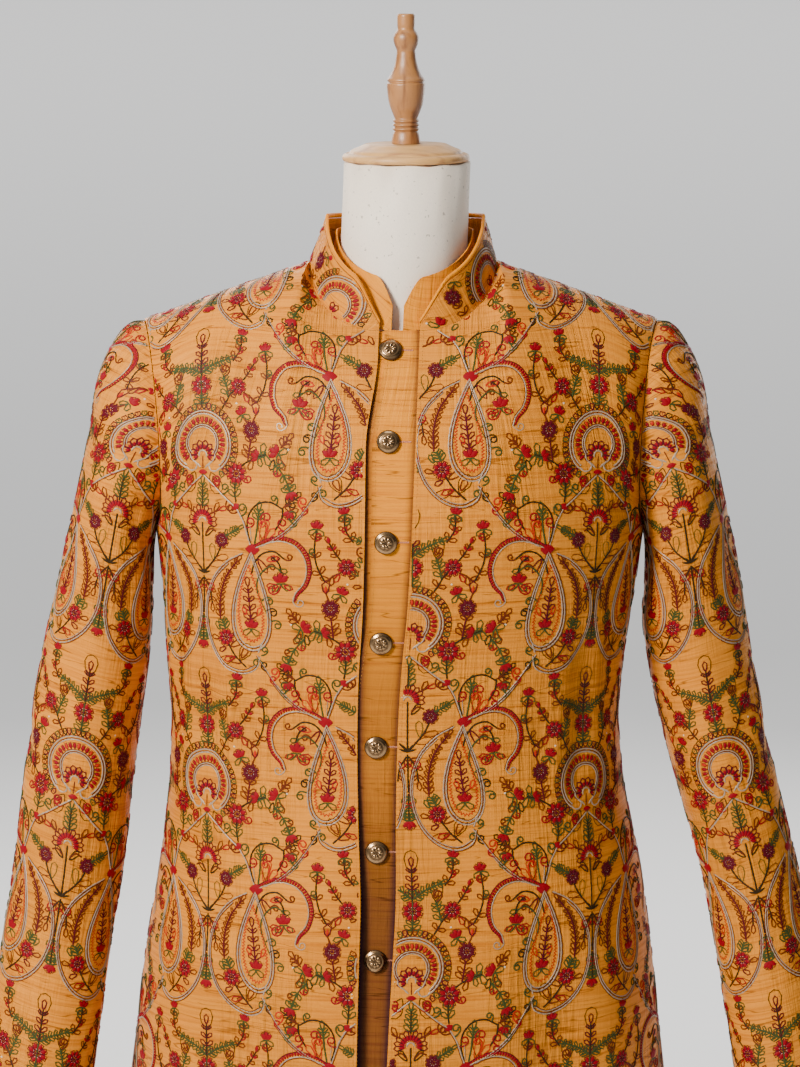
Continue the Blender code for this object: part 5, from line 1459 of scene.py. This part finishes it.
def gap_sprays():
    """Small sprays that fill the ground above the fan, beside the crescents and between the paisleys."""
    made = sprig("olive", "green", 3, 6.5, 3, -153j, -176j, turn=50, tip=False) + poppy(-179j, -90, 6.5)
    side = sprig("olive", "rust", 3, 6, 3, 29 + 73j, 36 + 84j, 37 + 96j, turn=52, tip=False)
    side += poppy(37 + 99j, 80, 6)
    side += curl("red", 33 + 80j, 0, 13, 270, 1.45) + curl("green", 36 + 88j, 160, 12, -260, 1.45)
    side += sprig("olive", "rust", 3, 6, 3, 54 + 38j, 61 + 52j, 63 + 68j, 61 + 83j, turn=55, tip=False)
    side += poppy(61 + 86j, 95, 6.5) + curl("green", 62 + 61j, 0, 12, 260, 1.45)
    side += curl("red", 62 + 74j, 170, 12, -260, 1.45)
    side += sprig("green", "green", 3, 6, 3, 70 - 14j, 79 - 25j, 84 - 37j, turn=50, tip=False)
    side += poppy(85 - 40j, -70, 6.5)
    side += curl("red", 77 - 22j, -120, 12, -260, 1.45) + curl("rust", 82 - 31j, 0, 12, 260, 1.45)
    side += curl("red", -158j, -10, 13, -270, 1.45) + curl("green", -168j, -10, 11, -260, 1.45)
    return made + mirrored(side)


def edged(strokes):
    """Adds a thin dark line along the outer side of each long beaded line."""
    made = list(strokes)
    for thread, width, kind, track in strokes:
        if kind == "beads" and thread == "silver" and len(track) > 12:
            step = np.gradient(track)
            made.append(("rust", 0.75, "line", track - 1j * step / np.abs(step) * (0.5 * width + 0.3)))
    return made


unit_strokes = edged(fan() + above_fan() + below_fan() + gap_sprays() + mirrored(
    [(t, w, k, KNOT + p) for t, w, k, p in paisley() + crescent() + above_knot()]
    + blade("red", KNOT - 6.5, 0, 13, 11) + loop("maroon", KNOT + 5 - 8j, -55, 11, 4) + flower_chain()
))


def width_along(kind, width, count):
    """Widths of a stroke: stitches swell and thin along a line, and a blade tapers to both ends."""
    share = np.linspace(0, 1, count)
    if kind == "blade":
        return width * np.maximum(np.sin(math.pi * share), 0.16)
    return width * np.where(np.arange(count) % 2, 1.0, 0.5 if kind == "beads" else 0.74)


thread_names = list(THREADS)
track = np.concatenate([p for _, _, _, p in unit_strokes]) * 0.001
counts = np.array([len(p) for _, _, _, p in unit_strokes])
flat_stroke = np.repeat([k == "line" and w < 1.5 or len(p) < 4 for _, w, k, p in unit_strokes], counts)
wide = np.concatenate([width_along(k, w, len(p)) for _, w, k, p in unit_strokes]) * 0.001
thread_of = np.repeat([thread_names.index(t) for t, _, _, _ in unit_strokes], counts)
ends = np.cumsum(counts)
first_of, last_of = np.repeat(ends - counts, counts), np.repeat(ends - 1, counts)
order = np.arange(len(track))
short_stroke = np.repeat(counts <= SHORT_STROKE, counts)
before, behind = np.minimum(order + 1, last_of), np.maximum(order - 1, first_of)


def index_at(values, rising):
    """Place along a rising line of numbers where it takes each value, going on straight past its ends."""
    place = np.interp(values, rising, np.arange(len(rising)))
    low = (values - rising[0]) / (rising[1] - rising[0])
    high = len(rising) - 1 + (values - rising[-1]) / (rising[-1] - rising[-2])
    return np.where(values < rising[0], low, np.where(values > rising[-1], high, place))


def value_at(line_values, place):
    k = np.clip(np.floor(place).astype(int), 0, len(line_values) - 2)
    share = (place - k).reshape((-1,) + (1,) * (line_values.ndim - 1))
    return line_values[k] + (line_values[k + 1] - line_values[k]) * share


def cloth_table(panel, step=0.003):
    """Rows and columns of a panel's grid at even steps up the cloth and along its level lines."""
    grid, b = panel["grid"], panel["b"]
    heights = np.arange(b.min() - 4 * step, b.max() + 5 * step, step)
    row = np.stack([index_at(heights, b[:, j]) for j in range(b.shape[1])], 1)
    level = np.stack([value_at(grid[:, j], row[:, j]) for j in range(b.shape[1])], 1)
    run = run_of(level, 1)
    start = panel["start"]
    nearest = np.clip(np.rint(row[:, start]), 0, len(b) - 1).astype(int)
    reach = run - run[:, [start]] + panel["a"][nearest, start][:, None]
    places = np.arange(reach.min() - 2 * step, reach.max() + 3 * step, step)
    rising = np.maximum.accumulate(reach, axis=1) + 1e-9 * np.arange(reach.shape[1])
    column = np.stack([index_at(places, line) for line in rising])
    rows = np.stack([value_at(line, place) for line, place in zip(row, column)])
    return heights, places, rows, column


def looked_up(table, first, step, at_b, at_a):
    """Bilinear values of tables at many places. Places outside are held at the rim."""
    y = np.clip((at_b - first[0]) / step, 0, table[0].shape[0] - 1.001)
    x = np.clip((at_a - first[1]) / step, 0, table[0].shape[1] - 1.001)
    return [bilinear(values, y, x) for values in table]


def bilinear(values, y, x):
    i, j = y.astype(int), x.astype(int)
    shape = (-1,) + (1,) * (values.ndim - 2)
    t, s = (y - i).reshape(shape), (x - j).reshape(shape)
    low = values[i, j] * (1 - s) + values[i, j + 1] * s
    return low * (1 - t) + (values[i + 1, j] * (1 - s) + values[i + 1, j + 1] * s) * t


def embroidered(name, panel_name, axes, columns=None):
    """Thread work on a panel, or on a range of its columns. axes has the cloth place of each unit's fan."""
    panel = panels[panel_name]
    grid, normals = panel["grid"], panel["normals"]
    heights, places, rows, column = cloth_table(panel)
    step = heights[1] - heights[0]
    count_rows, count_columns = grid.shape[:2]
    low, high = columns or (0, count_columns - 1)
    pitch_row = np.linalg.norm(np.diff(grid, axis=0), axis=-1).mean()
    pitch_column = np.linalg.norm(np.diff(grid, axis=1), axis=-1).mean()
    spare_row, spare_column = EDGE_MARGIN / pitch_row, EDGE_MARGIN / pitch_column
    first = low + (spare_column if low == 0 else 0)
    last = high - (spare_column if high == count_columns - 1 else 0)
    points, faces, threads, start = [], [], [], 0
    for fan_a, fan_b in axes:
        at_a, at_b = fan_a + track.real, fan_b + track.imag
        row, col = looked_up((rows, column), (heights[0], places[0]), step, at_b, at_a)
        inside = (row > spare_row) & (row < count_rows - 1 - spare_row) & (col > first) & (col < last)
        inside &= (at_b > heights[0]) & (at_b < heights[-1]) & (at_a > places[0]) & (at_a < places[-1])
        whole = np.repeat(np.logical_and.reduceat(inside, ends - counts), counts)
        pair = inside & inside[before] & (before > order) & (whole | ~short_stroke)
        if not pair.any():
            continue
        y, x = np.clip(row, 0, count_rows - 1.001), np.clip(col, 0, count_columns - 1.001)
        place, out = bilinear(grid, y, x), bilinear(normals, y, x)
        out = out / np.linalg.norm(out, axis=-1, keepdims=True)
        along = place[before] - place[behind]
        side = np.cross(out, along)
        side = side / np.maximum(np.linalg.norm(side, axis=-1, keepdims=True), 1e-9) * wide[:, None] / 2
        crown = THREAD_CROWN + 0.05 * wide[:, None]
        foot = out * np.where(flat_stroke, THREAD_BASE + FLAT_LIFT, THREAD_BASE)[:, None]
        ring = np.stack([place - side + foot, place + out * (THREAD_BASE + crown), place + side + foot], 1)
        used = pair | np.concatenate([[False], pair[:-1]])
        number = np.cumsum(used) - 1
        k = order[pair]
        here, there = start + 3 * number[k], start + 3 * number[k + 1]
        round_one, flat_one = ~flat_stroke[k], flat_stroke[k]
        quads = [np.stack([here, there, there + 1, here + 1], 1)[round_one]]
        quads.append(np.stack([here + 1, there + 1, there + 2, here + 2], 1)[round_one])
        quads.append(np.stack([here, there, there + 2, here + 2], 1)[flat_one])
        faces.append(np.concatenate(quads))
        colour = thread_of[k]
        threads.append(np.concatenate([colour[round_one], colour[round_one], colour[flat_one]]))
        points.append(ring[used].reshape(-1, 3))
        start += 3 * int(used.sum())
    used, faces = np.unique(np.concatenate(faces), return_inverse=True)
    points = np.concatenate(points)[used]
    made = object_of(name, points, faces.reshape(-1, 4), thread_materials[0], None, 180.0)
    for material in thread_materials[1:]:
        made.data.materials.append(material)
    made.data.polygons.foreach_set("material_index", np.concatenate(threads).astype(np.int32))
    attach(made, "root")
    return made


thread_materials = []
for name, colour in THREADS.items():
    material, nodes, links, shader = nodes_of(f"{name}_thread")
    settings(shader, Base_Color=(*colour, 1.0), Roughness=0.42 if name in ("silver", "cream") else 0.55)
    settings(shader, Specular_IOR_Level=0.25 if name == "silver" else 0.12)
    settings(shader, Metallic=0.15 if name == "silver" else 0.0)
    thread_materials.append(material)


def lattice(first_a, first_b, axes, low, high):
    """Places of the fans: axes are numbers of axes from the first, and low and high bound the heights."""
    places = []
    for k in axes:
        start = first_b + (FAN_SPACING / 2 if k % 2 else 0.0)
        first, last = math.floor((low - start) / FAN_SPACING), math.ceil((high - start) / FAN_SPACING)
        places += [(first_a + k * AXIS_SPACING, start + n * FAN_SPACING) for n in range(first, last + 1)]
    return places


FRONT_LATTICE = lattice(0.011, 1.167, (-1, 0, 1, 2), 0.35, 1.65)
BACK_LATTICE = lattice(0.0, 1.321, (-2, -1, 0, 1, 2), 0.35, 1.65)
SLEEVE_LATTICE = lattice(0.0, 1.310, (-2, -1, 0, 1, 2), 0.65, 1.55)
COLLAR_LATTICE = lattice(0.150, 1.425, (-3, -2, -1, 0, 1), 1.25, 1.60)
middle = panels["silk_back"]["grid"].shape[1] // 2
thread_work = {
    "front_left": embroidered("embroidery_front_left", "silk_front_left", FRONT_LATTICE),
    "front_right": embroidered("embroidery_front_right", "silk_front_right", FRONT_LATTICE),
    "back_right": embroidered("embroidery_back_right", "silk_back", BACK_LATTICE, (0, middle)),
    "back_left": embroidered("embroidery_back_left", "silk_back", BACK_LATTICE, (middle, 2 * middle)),
    "sleeve_left": embroidered("embroidery_sleeve_left", "silk_sleeve_left", SLEEVE_LATTICE),
    "sleeve_right": embroidered("embroidery_sleeve_right", "silk_sleeve_right", SLEEVE_LATTICE),
    "collar": embroidered("embroidery_collar", "silk_collar", COLLAR_LATTICE),
}


# Sewing
# Rows of topstitching hold the turned front edges, the hem, the cuffs and the collar, and each button
# has a worked buttonhole beside it. A Geometry Nodes tree lays one stitch after another along a line.

STITCH_PITCH, STITCH_SIZE = 0.0034, (0.0024, 0.00050, 0.00034)
BUTTONHOLE_PITCH, BUTTONHOLE_STITCH = 0.00055, (0.00056, 0.0022, 0.00050)
BUTTONHOLE_START, BUTTONHOLE_END, BUTTONHOLE_POINTS = 0.0106, 0.0196, 8
SEWING_GOLD, BUTTONHOLE_PINK = (0.560, 0.230, 0.030), (0.640, 0.260, 0.170)
FRONT_INSET, HEM_INSET, CUFF_INSET, COLLAR_INSET, STITCH_LIFT = 0.0030, 0.0130, 0.0110, 0.0014, 0.00012


def stitch_tree(material):
    """A tree that sets a small flattened stitch at even steps along a line of mesh edges."""
    tree = bpy.data.node_groups.new(f"{material.name}_stitches", "GeometryNodeTree")
    tree.interface.new_socket("Line", in_out="INPUT", socket_type="NodeSocketGeometry")
    tree.interface.new_socket("Pitch", in_out="INPUT", socket_type="NodeSocketFloat")
    tree.interface.new_socket("Stitch size", in_out="INPUT", socket_type="NodeSocketVector")
    tree.interface.new_socket("Stitches", in_out="OUTPUT", socket_type="NodeSocketGeometry")
    nodes, links = tree.nodes, tree.links
    source, result = nodes.new("NodeGroupInput"), nodes.new("NodeGroupOutput")
    curve, steps = nodes.new("GeometryNodeMeshToCurve"), nodes.new("GeometryNodeResampleCurve")
    steps.mode = "LENGTH"
    links.new(source.outputs["Line"], curve.inputs["Mesh"])
    links.new(curve.outputs["Curve"], steps.inputs["Curve"])
    links.new(source.outputs["Pitch"], steps.inputs["Length"])
    ball, shape = nodes.new("GeometryNodeMeshUVSphere"), nodes.new("GeometryNodeTransform")
    settings(ball, Segments=5, Rings=3, Radius=0.5)
    links.new(ball.outputs["Mesh"], shape.inputs["Geometry"])
    links.new(source.outputs["Stitch size"], shape.inputs["Scale"])
    along, outward = (nodes.new("FunctionNodeAlignRotationToVector") for _ in range(2))
    along.axis, outward.axis, outward.pivot_axis = "X", "Z", "X"
    cloth_side = nodes.new("GeometryNodeInputNamedAttribute")
    cloth_side.data_type = "FLOAT_VECTOR"
    cloth_side.inputs["Name"].default_value = "out"
    links.new(nodes.new("GeometryNodeInputTangent").outputs["Tangent"], along.inputs["Vector"])
    links.new(along.outputs["Rotation"], outward.inputs["Rotation"])
    links.new(cloth_side.outputs["Attribute"], outward.inputs["Vector"])
    placed_stitches = nodes.new("GeometryNodeInstanceOnPoints")
    links.new(steps.outputs["Curve"], placed_stitches.inputs["Points"])
    links.new(shape.outputs["Geometry"], placed_stitches.inputs["Instance"])
    links.new(outward.outputs["Rotation"], placed_stitches.inputs["Rotation"])
    realized = nodes.new("GeometryNodeRealizeInstances")
    smooth_faces = nodes.new("GeometryNodeSetShadeSmooth")
    thread = nodes.new("GeometryNodeSetMaterial")
    thread.inputs["Material"].default_value = material
    links.new(placed_stitches.outputs["Instances"], smooth_faces.inputs["Geometry"])
    links.new(smooth_faces.outputs["Geometry"], realized.inputs["Geometry"])
    links.new(realized.outputs["Geometry"], thread.inputs["Geometry"])
    links.new(thread.outputs["Geometry"], result.inputs["Stitches"])
    return tree


def stitched(name, lines, pitch, size, material):
    """Stitches along lines, each an array of points on the cloth and one of its outward normals."""
    points = np.concatenate([line + STITCH_LIFT * out for line, out in lines])
    ends = np.cumsum([len(line) for line, _ in lines])
    starts = np.setdiff1d(np.arange(len(points) - 1), ends[:-1] - 1)
    path = bpy.data.meshes.new(name)
    path.from_pydata(points.tolist(), np.stack([starts, starts + 1], 1).tolist(), [])
    out = path.attributes.new("out", "FLOAT_VECTOR", "POINT")
    out.data.foreach_set("vector", np.concatenate([out for _, out in lines]).ravel().astype(np.float32))
    guide = bpy.data.objects.new(name, path)
    scene.collection.objects.link(guide)
    tree = stitch_tree(material)
    modifier = guide.modifiers.new("stitches", "NODES")
    modifier.node_group = tree
    sockets = {item.name: item.identifier for item in tree.interface.items_tree if item.in_out == "INPUT"}
    modifier[sockets["Pitch"]] = pitch
    modifier[sockets["Stitch size"]] = size
    bpy.context.view_layer.update()
    mesh = bpy.data.meshes.new_from_object(guide.evaluated_get(bpy.context.evaluated_depsgraph_get()))
    guide.modifiers.remove(modifier)
    bpy.data.objects.remove(guide)
    made = bpy.data.objects.new(name, mesh)
    mesh.name = name
    scene.collection.objects.link(made)
    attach(made, "root")
    return made


def inset_line(grid, normals, edge, inset):
    """Points and normals along one edge of a panel, inset from it."""
    if edge in ("bottom", "top"):
        grid, normals = grid.swapaxes(0, 1), normals.swapaxes(0, 1)
    if edge in ("last", "top"):
        grid, normals = grid[:, ::-1], normals[:, ::-1]
    place = np.array([np.interp(inset, line, np.arange(len(line))) for line in run_of(grid, 1)])
    rows = np.clip(np.arange(len(grid), dtype=float), 0, len(grid) - 1.001)
    return bilinear(grid, rows, place), bilinear(normals, rows, place)


def sewing_thread(name, colour, roughness):
    material, nodes, links, shader = nodes_of(name)
    place = nodes.new("ShaderNodeTexCoord").outputs["Object"]
    twist = scaled_noise(nodes, links, place, (2600, 2600, 2600), 2.0, 0.5)
    # Painted shade: the thread is darker in the hollows of its twist.
    twist_shade = tuple(0.72 * c for c in colour)
    links.new(ramp(nodes, links, twist, (0.35, twist_shade), (0.60, colour)), shader.inputs["Base Color"])
    settings(shader, Roughness=roughness, Specular_IOR_Level=0.15)
    return material


rows = [
    inset_line(panels[name]["grid"], panels[name]["normals"], edge, inset)
    for name, edge, inset in (
        ("silk_front_left", "first", FRONT_INSET),
        ("silk_front_right", "first", FRONT_INSET),
        ("silk_front_left", "bottom", HEM_INSET),
        ("silk_front_right", "bottom", HEM_INSET),
        ("silk_back", "bottom", HEM_INSET),
        ("silk_sleeve_left", "bottom", CUFF_INSET),
        ("silk_sleeve_right", "bottom", CUFF_INSET),
        ("silk_collar", "top", COLLAR_INSET),
    )
]
rows.append(inset_line(*strips["buttonhole_placket"], "first", FRONT_INSET))
gold_sewing_thread = sewing_thread("gold_sewing_thread", SEWING_GOLD, 0.5)
stitched("topstitching", rows, STITCH_PITCH, STITCH_SIZE, gold_sewing_thread)

grid, normals = strips["buttonhole_placket"]
holes = []
for origin, out in buttons:
    row = np.interp(origin[2], grid[:, PLACKET_COLUMNS // 2, 2], np.arange(len(grid)))
    across = np.linspace(BUTTONHOLE_START, BUTTONHOLE_END, BUTTONHOLE_POINTS)
    level = value_at(grid, np.array([row]))[0]
    column = np.interp(origin[0] + across, level[:, 0], np.arange(PLACKET_COLUMNS + 1))
    level_row = np.full(BUTTONHOLE_POINTS, row)
    holes.append((bilinear(grid, level_row, column), bilinear(normals, level_row, column)))
pink_buttonhole_thread = sewing_thread("pink_buttonhole_thread", BUTTONHOLE_PINK, 0.55)
stitched("buttonholes", holes, BUTTONHOLE_PITCH, BUTTONHOLE_STITCH, pink_buttonhole_thread)


# Floor, light and camera
# A plain pale floor and soft studio light: a key light from the front left, a weak fill from the front
# right, two lights behind, an even one from above and a wide one over the far floor. The camera stands
# three metres in front at eye height and looks a little down.

FLOOR_SIZE, FLOOR_COLOUR = 160.0, (0.86, 0.855, 0.85)
SKY_LOW, SKY_MIDDLE, SKY_HIGH = 0.05, 0.05 * 1.6, 0.35
CAMERA_PLACE, CAMERA_PITCH = (0.0, -3.0, 1.7785), 10.5
CEILING_STRENGTH, CEILING_ANGLE = 0.8, 0.6
BACKDROP_PLACE, BACKDROP_SIZE, BACKDROP_POWER = (0.0, 50.0, 12.0), (60.0, 86.0), 12900.0
LIGHT_AIM = (0.0, 0.0, 1.2)
FOCAL_PIXELS, PHOTO_HEIGHT, SENSOR, FARTHEST_SEEN = 3378.45, 1067, 36.0, 500.0

bpy.ops.mesh.primitive_grid_add(size=FLOOR_SIZE, x_subdivisions=2, y_subdivisions=2)
floor = bpy.context.object
floor.name = "floor"
material, nodes, links, shader = nodes_of("plain_pale_floor")
settings(shader, Base_Color=(*FLOOR_COLOUR, 1.0), Roughness=0.9, Specular_IOR_Level=0.2)
floor.data.materials.append(material)

world = bpy.data.worlds.new("studio")
world.use_nodes = True
nodes, links = world.node_tree.nodes, world.node_tree.links
height = nodes.new("ShaderNodeSeparateXYZ")
links.new(nodes.new("ShaderNodeTexCoord").outputs["Generated"], height.inputs[0])
sky = ramp(nodes, links, height.outputs["Z"], (0.0, SKY_LOW), (0.35, SKY_MIDDLE), (1.0, SKY_HIGH))
links.new(sky, nodes["Background"].inputs["Color"])
nodes["Background"].inputs["Strength"].default_value = 1.0
scene.world = world

LIGHTS = (
    ("key", (-1.32, -1.66, 2.38), 0.6, 106.0, (1.0, 0.965, 0.90)),
    ("front_fill", (1.0, -3.4, 1.6), 2.5, 1.5, (1.0, 0.98, 0.96)),
    ("back_light", (-1.2, 3.0, 2.6), 2.0, 80.0, (1.0, 0.98, 0.95)),
    ("back_fill", (1.8, 3.2, 2.0), 2.0, 50.0, (1.0, 0.98, 0.96)),
)
for name, position, size, power, colour in LIGHTS:
    lamp = bpy.data.lights.new(name, "AREA")
    lamp.shape = "SQUARE"
    lamp.size, lamp.energy, lamp.color = size, power, colour
    holder = bpy.data.objects.new(name, lamp)
    holder.location = position
    aim = np.array(LIGHT_AIM) - np.array(position)
    tilt = math.asin(aim[2] / np.linalg.norm(aim))
    holder.rotation_euler = (math.pi / 2 + tilt, 0.0, math.atan2(aim[1], aim[0]) - math.pi / 2)
    scene.collection.objects.link(holder)

ceiling = bpy.data.lights.new("ceiling_light", "SUN")
ceiling.energy, ceiling.angle = CEILING_STRENGTH, CEILING_ANGLE
scene.collection.objects.link(bpy.data.objects.new("ceiling_light", ceiling))
backdrop = bpy.data.lights.new("backdrop_light", "AREA")
backdrop.shape, backdrop.energy = "RECTANGLE", BACKDROP_POWER
backdrop.size, backdrop.size_y = BACKDROP_SIZE
holder = bpy.data.objects.new("backdrop_light", backdrop)
holder.location = BACKDROP_PLACE
scene.collection.objects.link(holder)

lens = bpy.data.cameras.new("photo_view")
lens.sensor_width, lens.lens = SENSOR, FOCAL_PIXELS / PHOTO_HEIGHT * SENSOR
lens.clip_end = FARTHEST_SEEN
camera = bpy.data.objects.new("photo_view", lens)
camera.location = CAMERA_PLACE
camera.rotation_euler = (math.radians(90 - CAMERA_PITCH), 0.0, 0.0)
scene.collection.objects.link(camera)
scene.camera = camera
